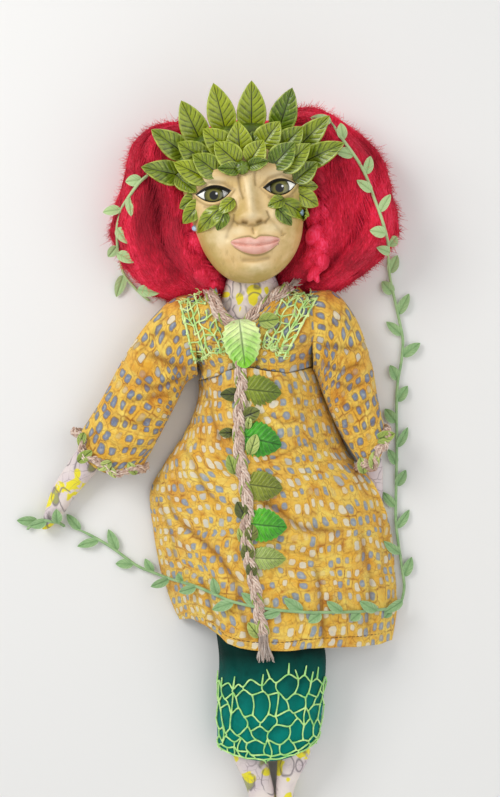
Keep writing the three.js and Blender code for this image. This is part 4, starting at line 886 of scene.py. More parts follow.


# With shading it gives instead the strength of the shade painted into the crease
def skirtPoint(u, v, lift=0.0, shading=False):
    leftX, leftY, rightX, rightY, top, edge = rowAt(skirt["outline"], v)
    front, share = aroundAt(u, skirt["front"], skirt["back"])
    centre = skirt["centre"]
    x = centre + share * ((centre - leftX) if share < 0 else (rightX - centre))
    y = blend(leftY, rightY, (share + 1) / 2) - tableAt(skirt["hem"], (share + 1) / 2) * smooth(0.55, 1, v)
    y += (tableAt(skirt["seamLine"], x) - blend(leftY, rightY, (share + 1) / 2) - 0.6) * (1 - smooth(0, 0.14, v))
    low = skirt["top"] * edge * 0.55
    if not front:
        sag = 0.6 * noise.noise(Vector((x * 0.05, y * 0.05, 7)))
        rim = abs(share) ** 8
        return Vector((x, y, max(low * rim + 0.75 + sag * (1 - rim), 0.9)))
    bell = max(1 - abs(share) ** 2.3, 0) ** 0.8
    fade = bell ** 0.6
    z = low + (skirt["top"] * top - low) * bell
    # The outline was traced at floor level; higher cloth looks larger from above
    near = (camera["distance"] - z) / (camera["distance"] - low)
    x, y = blend(camera["x"], x, near), blend(camera["y"], y, near)
    gather = math.sin(x * 0.62 + math.sin(y * 0.11)) * hump(skirt["seam"] - y, 20) * 0.8
    wrinkle = noise.noise(Vector((x * 0.035, y * 0.022, 1.3))) * 2.0 + noise.noise(Vector((x, y, 40)) * 0.09) * 0.8
    relief, shade = foldRelief(skirt["folds"], x, y)
    if shading:
        return shade * fade
    z += (relief + gather + wrinkle) * fade + lift
    below = max(underTunic(x + a, y + b) for a, b in ((0, 0), (3, 0), (-3, 0), (0, 3), (0, -3)))
    return Vector((x, y, max(z, below + 1.6 + lift)))


# Strength of the shade painted into the skirt's creases, on the front only
def skirtCreaseShade(u, v):
    return skirtPoint(u, v, shading=True) if u < skirt["front"] else 0


# The "crease" mark is the shade painted along the skirt's folds
tunicSkirt = garment("tunicSkirt", "torso", batikSkirt, "tunic_skirt", skirt, skirtPoint,
                     {"crease": skirtCreaseShade}, ride=False)
stitch = {"long": 3.2, "gap": 0.7, "radius": 0.3, "above": 0.95, "thread": (70, 40, 18)}


def threadFinish():
    finish = Finish("brownThread", 0.7)
    finish.paint(finish.mixed(finish.mark("tone"), colour(*stitch["thread"]), colour(132, 80, 38)))
    return finish


def makeStitches():
    path = [skirtPoint(0.02 + 0.68 * i / 160, stitch["above"], 1.0) for i in range(161)]
    lengths = measured(path)
    strands, where = [], 0.5
    while where + stitch["long"] < lengths[-1]:
        ends = []
        for spot in (where, where + stitch["long"]):
            index = max(i for i, length in enumerate(lengths) if length <= spot)
            after = min(index + 1, len(path) - 1)
            span = max(lengths[after] - lengths[index], 1e-6)
            ends.append(path[index].lerp(path[after], (spot - lengths[index]) / span))
        middle = (ends[0] + ends[1]) / 2 + Vector((0, 0, 0.25))
        strands.append(([ends[0], middle, ends[1]], [stitch["radius"] * 0.6, stitch["radius"], stitch["radius"] * 0.6]))
        where += stitch["long"] + stitch["gap"]
    return strandPiece("hemStitches", strands, "torso", threadFinish(), "tunic_skirt", False, tone=900)


hemStitches = makeStitches()
print("skirt sewn")

# Bodice: a tube of cloth whose front top edge makes the neck's V
bodice = {
    "seam": skirt["seam"],
    "shoulder": 163,
    "left": -43.1,
    "right": 55.9,
    "top": 55.2,
    "neckLeft": (-33, 166),
    "neckFoot": (-3, 129),
    "neckRight": (40, 163),
    "columns": 120,
    "rows": 56,
    "thick": 0.9,
    "front": 0.66,
    "back": 0.34,
    # left edge, right edge and top as shares, from the seam up
    "rowShares": [(0.04, 0.97, 1), (0.02, 0.985, 1), (0, 1, 0.98), (0, 1, 0.93), (0.03, 0.97, 0.88), (0.12, 0.88, 0.8)],
    "folds": [
        (1.6, 1.8, [(54, 122), (40, 112), (20, 108)]), (1.8, 2.0, [(-43, 104), (-30, 112), (-18, 124)]),
        (1.4, 1.4, [(52, 104), (36, 102), (22, 100)]), (1.4, 1.4, [(-40, 98), (-28, 99), (-18, 103)]),
        (1.6, 1.6, [(50, 140), (38, 128), (30, 118)]), (1.2, 1.2, [(6, 98), (10, 108)]),
    ],
}


# The top edge of the bodice's front
def neckEdge(x):
    (leftX, leftY), (footX, footY), (rightX, rightY) = bodice["neckLeft"], bodice["neckFoot"], bodice["neckRight"]
    if x < leftX or x > rightX:
        return bodice["shoulder"]
    if x < footX:
        return blend(leftY, footY, (x - leftX) / (footX - leftX))
    return blend(footY, rightY, (x - footX) / (rightX - footX))


def bodicePoint(u, v, shading=False):
    front, share = aroundAt(u, bodice["front"], bodice["back"])
    wide = bodice["right"] - bodice["left"]
    guess = blend(bodice["left"], bodice["right"], (share + 1) / 2)
    topEdge = min(neckEdge(guess), bodice["shoulder"]) if front else bodice["shoulder"] - 3 * (1 - share * share)
    seam = tableAt(skirt["seamLine"], guess) if front else bodice["seam"] - 4
    y = blend(seam, topEdge, v)
    up = max((y - bodice["seam"]) / (bodice["shoulder"] - bodice["seam"]), 0)
    left, right, top = rowAt(bodice["rowShares"], up)
    x = bodice["left"] + wide * blend(left, right, (share + 1) / 2)
    seamZ = bodice["top"] * blend(0.3, 0.74, smooth(0.0, 0.4, up))
    close = smooth(0.8, 1, up) * (0 if bodice["neckLeft"][0] < guess < bodice["neckRight"][0] else 1)
    if not front:
        z = 0.35 + seamZ * 0.98 * abs(share) ** 14
        z = blend(z, 27, smooth(0.86, 1, up) * (0.4 + 0.6 * close))
        return 0 if shading else Vector((x, y, z))
    bell = max(1 - abs(share) ** 2.6, 0) ** 0.55
    z = seamZ + (bodice["top"] * top - seamZ) * bell
    gather = math.sin(x * 0.7) * hump(y - seam, 9) * 0.7
    wrinkle = noise.noise(Vector((x * 0.05, y * 0.05, 5))) * 1.3
    relief, shade = foldRelief(bodice["folds"], x, y)
    if shading:
        return shade
    z += (relief + gather + wrinkle) * bell
    z -= hump(y - seam, 1.6) * 1.3 * bell
    return Vector((x, y, blend(z, 27, close)))


# The "crease" mark is the shade painted along the bodice's folds
tunicBodice = garment("tunicBodice", "torso", batikBodice, "tunic_bodice", bodice, bodicePoint,
                      {"crease": lambda u, v: bodicePoint(u, v, shading=True)})

sleeve = {
    "depth": 44,
    "columns": 96,
    "rows": 110,
    "thick": 0.9,
    # outer x y, inner x y, low and high shares
    "rightRows": [
        (-40.1, 160, -40.1, 94.2, 0.01, 1), (-57, 157, -46, 91, 0.01, 1), (-78, 139.5, -51, 86.5, 0.01, 0.93),
        (-100, 111, -60, 70.5, 0.01, 0.84), (-121, 76.5, -74.6, 45.4, 0.04, 0.76),
        (-140.6, 49, -90.5, 19.3, 0.13, 0.72),
    ],
    "leftRows": [
        (52.9, 159, 52.9, 94.2, 0.01, 1), (73, 156, 55, 90, 0.01, 1), (90, 133.5, 57, 84, 0.01, 0.95),
        (100.8, 98, 62.5, 67, 0.01, 0.9), (104.9, 66.8, 72.5, 42, 0.02, 0.8), (110.1, 38.8, 90.5, 10.5, 0.13, 0.66),
    ],
    "rightBow": 15,
    "leftBow": 6,
    "rightFolds": [
        (2.4, 3.2, [(-46, 96), (-64, 106), (-84, 112)]), (2.2, 3.0, [(-48, 92), (-70, 86), (-92, 88)]),
        (2.0, 2.2, [(-56, 82), (-80, 76), (-104, 78)]), (1.8, 1.8, [(-72, 58), (-96, 58), (-116, 62)]),
        (2.0, 2.0, [(-46, 120), (-62, 128), (-80, 128)]), (1.8, 1.6, [(-80, 38), (-98, 36), (-116, 44)]),
        (2.2, 1.8, [(-60, 146), (-74, 128), (-88, 108)]),
    ],
    "leftFolds": [
        (2.2, 3.2, [(57, 110), (72, 112), (94, 106)]), (2.0, 3.0, [(58, 98), (76, 92), (98, 96)]),
        (1.8, 2.4, [(62, 84), (80, 78), (100, 82)]), (1.8, 2.0, [(70, 64), (86, 62), (103, 68)]),
        (1.6, 1.8, [(76, 46), (92, 44), (105, 50)]), (1.8, 1.8, [(58, 126), (74, 132), (88, 128)]),
        (1.4, 1.6, [(84, 28), (96, 28), (106, 32)]), (1.8, 1.6, [(66, 146), (80, 138), (92, 120)]),
    ],
}


# u goes around, v from the shoulder to the cuff; with shading it gives instead the strength of the shade painted into
# the creases on top
def sleevePoint(side, u, v, lift=0.0, shading=False):
    rows = sleeve[side + "Rows"]
    outX, outY, inX, inY, low, high = rowAt(rows, v)
    deep = sleeve["depth"]
    row = (inX, inY, outX, outY, deep * low, deep * high)
    point = ovalPoint(row, u, 2.5, lift)
    last, before = rows[-1], rows[-2]
    way = Vector((last[0] + last[2] - before[0] - before[2], last[1] + last[3] - before[1] - before[3], 0))
    centre = Vector(((inX + outX) / 2, (inY + outY) / 2, point.z))
    across = (point - centre).length / (math.hypot(outX - inX, outY - inY) / 2)
    point += way.normalized() * sleeve[side + "Bow"] * max(1 - across ** 2.4, 0) * smooth(0.5, 1, v) ** 1.5
    top = max(math.sin(u * math.tau), 0)
    relief, shade = foldRelief(sleeve[side + "Folds"], point.x, point.y)
    if shading:
        return shade * top
    relief += noise.noise(Vector((point.x * 0.05, point.y * 0.05, 9))) * 1.6
    ends = smooth(0, 0.06, v) * (1 - 0.5 * smooth(0.9, 1, v))
    point.z += relief * top ** 0.7 * ends
    return point


# The seam of a sleeve runs along its underside
def makeSleeve(side):
    def place(u, v, shading=False):
        return sleevePoint(side, (u + 0.75) % 1, v, shading=shading)

    # The "crease" mark is the shade painted along the sleeve's folds
    return garment("sleeve" + side.capitalize(), "arm_" + side, batikSleeve, "sleeve_" + side, sleeve,
                   place, {"crease": lambda u, v: place(u, v, True)})


sleeves = {side: makeSleeve(side) for side in sides}
print("bodice and sleeves sewn")

# Light and deep tint of each net, and half the thickness of the collars' cord
netPaint = {
    "skirt": ((202, 242, 152), (152, 218, 122)), "collar": ((226, 244, 166), (170, 216, 122)), "radius": 0.62,
    "toneScale": 260,
}


def netFinish(kind):
    finish = Finish(kind + "Net", 0.7, Sheen_Weight=0.2)
    light, deep = netPaint[kind]
    finish.paint(finish.mixed(finish.mark("tone").rise(0.2, 0.8), colour(*deep), colour(*light)))
    return finish


skirtNet, collarNet = netFinish("skirt"), netFinish("collar")


# Net with wandering knots: place(u, v, lift) gives the points of what it lies on
def netStrands(place, columns, rows, seed, loose, lines):
    pick = random.Random(seed)
    knots = {}
    for row in range(rows + 1):
        for column in range(columns + 1):
            u = (column + pick.uniform(-loose, loose)) / columns
            v = (row + 0.45 * (column % 2) + pick.uniform(-loose, loose)) / (rows + 0.5)
            knots[column, row] = (min(max(u, 0), 1), min(max(v, 0), 1))
    strands = []
    radius = netPaint["radius"]

    def strand(a, b, thick=1.0):
        points = []
        bend = pick.uniform(-0.03, 0.03)
        for step in range(7):
            share = step / 6
            sag = math.sin(share * math.pi) * bend
            points.append(place(blend(a[0], b[0], share) + sag, blend(a[1], b[1], share) + sag * 0.6, 0.7 + radius))
        strands.append((points, [radius * thick * pick.uniform(0.85, 1.1)] * 7))

    for (column, row), knot in knots.items():
        for other in ((column + 1, row), (column, row + 1)):
            if other in knots and pick.random() > 0.07:
                strand(knot, knots[other])
        middle = place(knot[0], knot[1], 0.9 + radius)
        off = Vector((pick.uniform(-1, 1), pick.uniform(-1, 1), 0)).normalized()
        strands.append(([middle - off, middle - off * 0.4, middle + off * 0.4, middle + off],
                        [radius * 0.8, radius * 1.8, radius * 1.8, radius * 0.8]))
    for (u0, v0), (u1, v1) in lines:
        for step in range(rows):
            strand((blend(u0, u1, step / rows), blend(v0, v1, step / rows)),
                   (blend(u0, u1, (step + 1) / rows), blend(v0, v1, (step + 1) / rows)), 1.35)
    return strands


# Rows of the net down the underskirt, as shares of its length
overlay = {
    "rows": (0.5, 0.565, 0.635, 0.705, 0.78, 0.86, 0.95), "radius": 0.66, "swing": 0.014, "cells": 9, "extra": 0.16,
    "seed": 4,
}


def makeOverlay():
    rows, pick, radius = overlay["rows"], random.Random(overlay["seed"]), overlay["radius"]
    count = overlay["cells"] * 2

    def place(u, v, lift=0.5):
        point = underPoint(blend(0.04, 0.63, u), min(v, 1), lift + radius)
        beyond = max(v - 1, 0) * under["length"]
        return point + Vector((0, -beyond, -beyond * 0.2))

    def strand(route, wide, steps):
        line = curveThrough([Vector((u, v, 0)) for u, v in route], steps)
        shares = [2 * i / (len(line) - 1) - 1 for i in range(len(line))]
        strands.append(([place(spot.x, spot.y) for spot in line], [radius * wide(share) for share in shares]))

    # Zigzag rows whose low knots meet the high knots of the row below
    knots, strands = [], []
    for row, level in enumerate(rows):
        line = []
        for k in range(count + 1):
            u = (k + pick.uniform(-0.36, 0.36)) / count
            wave = 0.016 * math.sin(u * 8 + row * 1.9) + 0.02 * noise.noise(Vector((u * 4, row * 2.3, 1)))
            swing = overlay["swing"] * pick.uniform(0.35, 1.5) * (1 if (k + row) % 2 == 0 else -1)
            line.append((u, level + (wave + swing) * (1 if row < len(rows) - 1 else 0.6)))
        knots.append(line)
        strand(line, lambda share: 1 + 0.25 * noise.noise(Vector((share * 30, 1, 5))), count * 6)
    for row in range(len(rows) - 1):
        for k in range(count + 1):
            above, below = knots[row][k], knots[row + 1][k]
            if (k + row) % 2 and pick.random() > overlay["extra"]:
                continue
            slip = pick.uniform(-0.012, 0.012)
            middle = (blend(above[0], below[0], 0.5) + slip, blend(above[1], below[1], 0.5))
            strand([above, middle, below], lambda share: 0.85 + 0.75 * abs(share) ** 4, 10)
    for row, way in ((0, -1), (len(rows) - 1, 1)):
        for u, v in knots[row]:
            if pick.random() < 0.62:
                strand([(u, v), (u + pick.uniform(-0.02, 0.02), v + way * pick.uniform(0.025, 0.06))],
                       lambda share: 1.05 - 0.35 * share, 5)
    return strandPiece("netOverlay", strands, "lower_skirt", skirtNet, "net_overlay", resolution=1,
                       tone=netPaint["toneScale"])


netOverlay = makeOverlay()

# Collar corners: outer top, inner top, inner foot, outer foot
collar = {
    "right": [(-52, 155), (-29, 162), (-15, 112), (-42, 103)],
    "left": [(59, 151), (36, 162), (12, 115), (30, 103)],
    "rightLines": [((0.02, 0.1), (0.02, 1.0)), ((0.3, 0.05), (0.36, 1.0))],
    "leftLines": [((0.02, 0.0), (0.04, 1.0)), ((0.3, 0.05), (0.28, 1.0))],
    "frays": 70,
}
onShoulder = heightOn(tunicBodice, *sleeves.values())


def makeCollar(side):
    corners = [Vector((x, y, 0)) for x, y in collar[side]]

    def place(u, v, lift):
        point = corners[0].lerp(corners[1], u).lerp(corners[3].lerp(corners[2], u), v)
        return Vector((point.x, point.y, onShoulder(point.x, point.y, 40) + lift))

    strands = netStrands(place, 4, 7, 20 + len(side), 0.3, collar[side + "Lines"])
    pick = random.Random(len(side))
    for _ in range(collar["frays"]):
        u, v = pick.uniform(0, 1), pick.choice([pick.uniform(0, 0.16), pick.uniform(0.9, 1)])
        start = place(u, v, 0.8)
        swirl = [start + Vector((math.cos(a * 1.4), math.sin(a), 0.2)) * (a * 1.6) for a in (0, 0.8, 1.6, 2.4)]
        turn = pick.uniform(0, math.tau)
        swirl = [start + Vector(((p - start).x * math.cos(turn) - (p - start).y * math.sin(turn),
                                 (p - start).x * math.sin(turn) + (p - start).y * math.cos(turn), 0.9)) for p in swirl]
        strands.append((swirl, [0.34, 0.34, 0.3, 0.16]))
    return strandPiece("netCollar" + side.capitalize(), strands, "torso", collarNet, "net_collar_" + side,
                       ride=False, resolution=1, tone=netPaint["toneScale"])


collars = [makeCollar(side) for side in sides]
print("nets knotted")

# Hemp twine, braided from three strands
hemp = {"light": (240, 218, 200), "deep": (160, 118, 98), "green": (190, 208, 104)}


def twineFinish(name, light, deep):
    finish = Finish(name, 0.9, Sheen_Weight=0.25)
    cloth = finish.cloth()
    across, along = finish.axis(cloth, 0), finish.axis(cloth, 1)
    ply = (across * 900 + along * 1500).sine()
    fibre = finish.noise(finish.scaled(cloth, 1400, 260), 1, 3)
    level = fibre * 0.6 + ply * 0.1 + finish.mark("tone") * 0.6
    tint = finish.mixed(level.rise(0.2, 0.85), colour(*deep), colour(*light))
    finish.paint(tint)
    finish.relief(ply * 0.6 + fibre * 0.8, 0.7, 0.7)
    return finish


hempTwine = twineFinish("hempTwine", hemp["light"], hemp["deep"])
hempFibre = twineFinish("hempFibre", (255, 240, 226), (212, 178, 156))
greenTwine = twineFinish("greenTwine", hemp["green"], (140, 160, 66))


# Strands that cross over each other about a path
def braidPaths(path, width, thick, pitch, count=3, phase=0.0):
    placed = frames(path)
    lengths = measured(path)
    paths = []
    for strand in range(count):
        points = []
        for (point, side, up), length in zip(placed, lengths):
            turn = length / pitch * math.tau + strand * math.tau / count + phase
            points.append(point + side * (math.sin(turn) * width / 2) + up * (math.sin(2 * turn) * thick / 2))
        paths.append(points)
    return paths


# Each rope is a bundle of thin fibres twisted about its path
def bundles(bm, paths, thick, seed, count=6, twist=34, closed=False):
    pick = random.Random(seed)
    for path in paths:
        placed = frames(path)
        lengths = measured(path)
        for number in range(count):
            far = thick * (0.0 if number == 0 else pick.uniform(0.55, 0.8))
            start = math.tau * number / max(count - 1, 1)
            points = []
            for (point, side, up), length in zip(placed, lengths):
                angle = start + (round(lengths[-1] / twist) or 1) * math.tau * length / lengths[-1]
                points.append(point + side * (math.cos(angle) * far) + up * (math.sin(angle) * far))
            tone = pick.uniform(0.0, 1.0)
            reach = thick * (0.62 if number == 0 else pick.uniform(0.36, 0.5))
            shape = (lambda share, reach=reach: reach) if closed else rounded(reach, 0.02)
            tube(bm, points, shape, twine["facets"], closed=closed, marks={"tone": lambda u, v, tone=tone: tone})


# Short fibres that stand out of the ropes, clear of the floor
def fuzz(paths, count, reach, seed):
    pick = random.Random(seed)
    thin = twine["fuzz"]
    strands = []
    for _ in range(count):
        path = pick.choice(paths)
        start = pick.choice(path)
        out = Vector((pick.gauss(0, 1), pick.gauss(0, 1), abs(pick.gauss(0.2, 0.7)))).normalized()
        bend = Vector((pick.gauss(0, 1), pick.gauss(0, 1), pick.gauss(0, 0.4))) * 0.5
        far = reach * pick.uniform(0.5, 1.2)
        points = [start + out * (far * s) + bend * (far * s * s) for s in (0.2, 0.5, 0.8, 1)]
        points = [Vector((p.x, p.y, max(p.z, twine["clear"]))) for p in points]
        strands.append((points, [thin, thin, thin * 0.8, thin * 0.4]))
    return strands


# Head: shares of the face unit, tilted about its centre
head = {"x": 8.65, "y": 214.37, "tilt": math.pi / 51, "unit": 48.5, "low": 38, "edge": 56, "relief": 36}


def headPoint(across, along, z):
    x, y = head["unit"] * across, head["unit"] * along
    c, s = math.cos(head["tilt"]), math.sin(head["tilt"])
    return Vector((head["x"] + x * c - y * s, head["y"] + x * s + y * c, z))


mask = {
    "centre": (-0.05, 0.2),
    "columns": 200,
    "rows": 210,
    "thick": 3,
    # along, left, right
    "outline": [
        (-1.04, -0.13, 0.03), (-0.98, -0.38, 0.24), (-0.86, -0.55, 0.44), (-0.68, -0.7, 0.62),
        (-0.42, -0.83, 0.77), (-0.1, -0.92, 0.85), (0.25, -1, 0.92), (0.6, -1.05, 0.94),
        (0.95, -1.02, 0.93), (1.2, -0.9, 0.82), (1.38, -0.66, 0.58), (1.48, -0.3, 0.22),
    ],
    # Swellings: rise mm, across, along, half width, half length
    "swells": [
        (9.5, 0.0, 0.1, 0.13, 0.2), (6.5, 0.0, 0.42, 0.12, 0.26), (4.6, -0.01, -0.05, 0.13, 0.11),
        (4.6, -0.175, -0.03, 0.085, 0.09), (4.4, 0.165, -0.05, 0.085, 0.09),
        (3.2, 0.01, -0.47, 0.34, 0.24), (-5.4, -0.55, 0.42, 0.3, 0.17), (-5.4, 0.5, 0.43, 0.3, 0.17),
        (3.4, -0.52, -0.06, 0.27, 0.24), (3.4, 0.5, -0.08, 0.27, 0.24), (4.6, -0.03, -0.86, 0.24, 0.15),
        (3.4, -0.46, 0.7, 0.36, 0.13), (3.4, 0.44, 0.71, 0.36, 0.13), (-2.0, 0.0, -0.7, 0.28, 0.06),
        (-1.6, 0.01, -0.25, 0.05, 0.07), (-1.4, 0.47, -0.37, 0.03, 0.03), (-1.2, -0.42, -0.34, 0.04, 0.04),
    ],
    # Painted highlights on the raised parts of the face: across, along, half width, half length
    "lights": [
        (0.02, 0.3, 0.07, 0.36), (0.0, -0.04, 0.1, 0.08), (-0.55, 0.6, 0.22, 0.07), (0.5, 0.61, 0.22, 0.07),
        (0.45, -0.02, 0.22, 0.16), (-0.5, -0.3, 0.24, 0.16), (-0.02, -0.84, 0.22, 0.1), (0.3, -0.24, 0.2, 0.08),
        (-0.25, -0.24, 0.14, 0.08),
    ],
    # Grooves: half width, depth mm, points
    "grooves": [
        (0.02, 1.0, [(-0.27, 0.02), (-0.29, -0.07), (-0.22, -0.13)]),
        (0.02, 1.0, [(0.26, 0.02), (0.285, -0.08), (0.21, -0.145)]),
        (0.028, 0.9, [(-0.22, -0.13), (-0.15, -0.14), (-0.06, -0.175), (0.05, -0.18), (0.14, -0.15), (0.21, -0.145)]),
        (0.032, 2.2, [(-0.14, -0.115), (-0.09, -0.13)]), (0.032, 2.2, [(0.14, -0.125), (0.09, -0.14)]),
        (0.03, 0.45, [(-0.29, -0.07), (-0.38, -0.2), (-0.42, -0.3)]),
        (0.03, 0.45, [(0.28, -0.09), (0.38, -0.22), (0.45, -0.33)]),
        (0.016, 0.8, [(0.0, -0.22), (0.01, -0.3)]), (0.012, 0.6, [(0.44, -0.37), (0.52, -0.35)]),
        (0.022, 1.0, [(-0.14, 0.66), (-0.13, 0.4), (-0.1, 0.26)]), (0.022, 0.8, [(0.13, 0.66), (0.12, 0.46)]),
        (0.024, 0.9, [(-0.84, 0.46), (-0.6, 0.585), (-0.36, 0.54), (-0.26, 0.44)]),
        (0.024, 0.9, [(0.25, 0.45), (0.34, 0.55), (0.56, 0.6), (0.79, 0.47)]),
        (0.026, 0.7, [(-0.72, 0.22), (-0.52, 0.185), (-0.34, 0.25)]),
        (0.026, 0.7, [(0.32, 0.25), (0.5, 0.19), (0.7, 0.24)]),
        (0.03, 0.7, [(-0.2, -0.7), (0, -0.72), (0.2, -0.7)]),
    ],
}

# Eyes: corner shares, lid heights, iris centre
eyes = {
    "right": {"outer": (-0.82, 0.43), "inner": (-0.29, 0.412), "iris": (-0.555, 0.392)},
    "left": {"outer": (0.755, 0.428), "inner": (0.262, 0.405), "iris": (0.505, 0.395)},
    "upper": 4.5,
    "lower": 6.5,
    "ball": 79.5,
    "round": 2.2,
    "thick": 1.6,
    "irisRadius": 7.6,
    "pupil": 3.5,
}

mouth = {
    "left": (-0.375, -0.4), "right": (0.42, -0.432), "sag": 0.075, "upper": 0.14, "lower": 0.142, "plump": 2.5,
}


# Distance of the mask's rim from its centre by angle, evened out
def rimAt():
    rows = mask["outline"]
    steps = 60
    fine = [rowAt(rows, i / steps) for i in range(steps + 1)]
    ring = [(left, along) for along, left, right in fine] + [(right, along) for along, left, right in reversed(fine)]
    cx, cy = mask["centre"]
    polar = sorted((math.atan2(y - cy, x - cx), math.hypot(x - cx, y - cy)) for x, y in ring)

    def reach(angle):
        for (a0, r0), (a1, r1) in zip(polar, polar[1:]):
            if a0 <= angle <= a1:
                return blend(r0, r1, (angle - a0) / max(a1 - a0, 1e-9))
        (a0, r0), (a1, r1) = polar[-1], polar[0]
        a1 += math.tau
        angle += math.tau if angle < a0 else 0
        return blend(r0, r1, (angle - a0) / (a1 - a0))

    table = [reach(-math.pi + math.tau * i / 720) for i in range(721)]
    even = [sum(table[(i + k) % 720] for k in range(-7, 8)) / 15 for i in range(721)]

    def rim(angle):
        spot = (angle + math.pi) / math.tau * 720
        index = min(int(spot), 719)
        return blend(even[index], even[index + 1], spot - index)

    return rim


maskRim = rimAt()


# How far inside the lids a place lies, in mm; negative outside
def lidInside(side, across, along):
    eye = eyes[side]
    (x0, y0), (x1, y1) = sorted((eye["outer"], eye["inner"]))
    half = math.hypot(x1 - x0, y1 - y0) / 2
    ax, ay = (x1 - x0) / half / 2, (y1 - y0) / half / 2
    dx, dy = across - (x0 + x1) / 2, along - (y0 + y1) / 2
    p = (dx * ax + dy * ay) * head["unit"]
    q = (dy * ax - dx * ay) * head["unit"]
    wide = half * head["unit"]
    bow = max(1 - (p / wide) ** 2, -1.5)
    return min(eyes["upper"] * bow - q, q + eyes["lower"] * bow) * 0.88, q


def lineDistance(points, across, along):
    best = 9
    for (x0, y0), (x1, y1) in zip(points, points[1:]):
        dx, dy = x1 - x0, y1 - y0
        share = min(max(((across - x0) * dx + (along - y0) * dy) / (dx * dx + dy * dy), 0), 1)
        best = min(best, math.hypot(across - x0 - dx * share, along - y0 - dy * share))
    return best


# Lips: share above or below the mouth line, zero outside
def lipAt(across, along):
    (x0, y0), (x1, y1) = mouth["left"], mouth["right"]
    share = (across - x0) / (x1 - x0)
    if share <= 0 or share >= 1:
        return 0, 9, 9
    bow = 1 - (2 * share - 1) ** 2
    line = blend(y0, y1, share) - mouth["sag"] * bow
    peak = 1 - 0.28 * hump(share - 0.5, 0.07)
    upper = mouth["upper"] * bow ** 0.7 * peak
    lower = mouth["lower"] * bow ** 0.75
    off = along - line
    inside = off / upper if off > 0 else -off / lower
    return (1 - smooth(0.86, 1.08, inside)) * smooth(0, 0.06, bow), off, inside


# Height of the face and its groove, eye line and lip marks; r is 1 at the rim
def faceAt(across, along, r):
    dome = max(1 - r ** 3.2, 0) ** 0.5
    z = head["edge"] + head["relief"] * 0.88 * dome
    groove = 0.0
    for rise, a0, l0, wide, long in mask["swells"]:
        z += rise * math.exp(-(((across - a0) / wide) ** 2) - ((along - l0) / long) ** 2)
    for width, depth, points in mask["grooves"]:
        if abs(across - points[0][0]) < 0.75 and abs(along - points[0][1]) < 0.6:
            cut = hump(lineDistance(points, across, along), width)
            z -= depth * cut
            groove = max(groove, cut * min(depth, 1.4) / 1.4)
    lip, off, inside = lipAt(across, along)
    if lip > 0:
        z += mouth["plump"] * lip * math.sqrt(max(1 - (inside * 2 * 0.9 - 0.9) ** 2, 0))
        z -= 1.7 * hump(off, 0.014) * lip
    groove = max(groove, hump(inside - 1.08, 0.14) * 0.8 if 0 < inside < 1.6 else 0)
    liner = 0.0
    for side in ("right", "left"):
        deep, q = lidInside(side, across, along)
        if deep > -6:
            lid = hump(deep + 1.5, 1.3) * 1.3
            z += lid
            z = blend(z, eyes["ball"] - 4, smooth(0.2, 1.2, deep))
            wide = 1.5 if q > 0 else 0.8
            liner = max(liner, smooth(-wide - 0.4, -wide * 0.4, deep))
            groove = max(groove, hump(deep + 3.4, 1.1) * 0.5)
    return z, groove, liner, lip


def makeFace():
    bm = bmesh.new()
    cx, cy = mask["centre"]
    levels = {}

    def place(u, v):
        key = (round(u * mask["columns"]), round(v * mask["rows"]))
        if key in levels:
            return levels[key]
        s, t = 2 * u - 1, 2 * v - 1
        x, y = s * math.sqrt(1 - t * t / 2), t * math.sqrt(1 - s * s / 2)
        r = min(math.hypot(x, y), 1) * 1.06
        angle = math.atan2(y, x)
        inner = min(r, 1)
        rim = maskRim(angle)
        across, along = cx + math.cos(angle) * rim * inner, cy + math.sin(angle) * rim * inner
        z, groove, liner, lip = faceAt(across, along, inner)
        wall = max(r - 1, 0) / 0.06
        across, along = blend(across, cx, 0.02 * wall), blend(along, cy, 0.02 * wall)
        # Painted highlight: how strongly the "lights" table lightens this spot
        high = max(math.exp(-(((across - a) / w) ** 2) - ((along - l) / t) ** 2) for a, l, w, t in mask["lights"])
        spot = headPoint(across, along, blend(z, head["low"] + 1, wall))
        found = (spot, groove, liner, lip, high, smooth(0.6, 1, inner))
        levels[key] = found
        return found

    names = ("groove", "liner", "lip", "high", "rim")
    marks = {name: lambda u, v, index=index: place(u, v)[index] for index, name in enumerate(names, 1)}
    surface(bm, mask["columns"], mask["rows"], lambda u, v: place(u, v)[0], marks)
    return makePiece(bm, "clayFace", "torso", faceClay(), ["face"], mask["thick"])


def faceClay():
    finish = Finish("faceClay", 0.42, Coat_Roughness=0.25)
    place = finish.spot()
    cloud = finish.noise(place, 45, 4, rough=0.6)
    fine = finish.noise(place, 220, 4, rough=0.65)
    strokes = finish.noise(finish.scaled(place, 260, 90, 90), 1, 4, rough=0.6)
    tint = finish.mixed(cloud.rise(0.32, 0.68), colour(216, 178, 112), colour(234, 204, 148))
    # Painted highlights on the forehead, nose, brows, cheeks, upper lip and chin
    tint = finish.mixed(finish.mark("high") * 0.75, tint, colour(246, 226, 182))
    olive = finish.noise(place, 30, 4, rough=0.65) + finish.mark("rim") * 0.24
    tint = finish.mixed(olive.rise(0.54, 0.76) * 0.6, tint, colour(172, 148, 56))
    tint = finish.mixed((strokes - finish.mark("high") * 0.2).rise(0.56, 0.7) * 0.35, tint, colour(148, 112, 52))
    groove = finish.mark("groove")
    tint = finish.mixed((groove * 0.85 + fine.rise(0.62, 0.8) * 0.2).clamped(), tint, colour(104, 78, 28))
    lip = finish.mark("lip")
    lipTint = finish.mixed(finish.noise(place, 160, 3).rise(0.3, 0.7), colour(224, 160, 142), colour(238, 188, 172))
    lipTint = finish.mixed(groove.rise(0.5, 1) * 0.6, lipTint, colour(140, 80, 56))
    tint = finish.mixed(lip.rise(0.35, 0.65), tint, lipTint)
    tint = finish.mixed(finish.mark("liner").rise(0.35, 0.65), tint, colour(26, 22, 14))
    finish.paint(tint)
    finish.dull(0.36 + fine * 0.2)
    finish.relief(fine * 0.6 + cloud * 0.5, 0.35, 0.5)
    return finish


clayFace = makeFace()
print("face shaped")


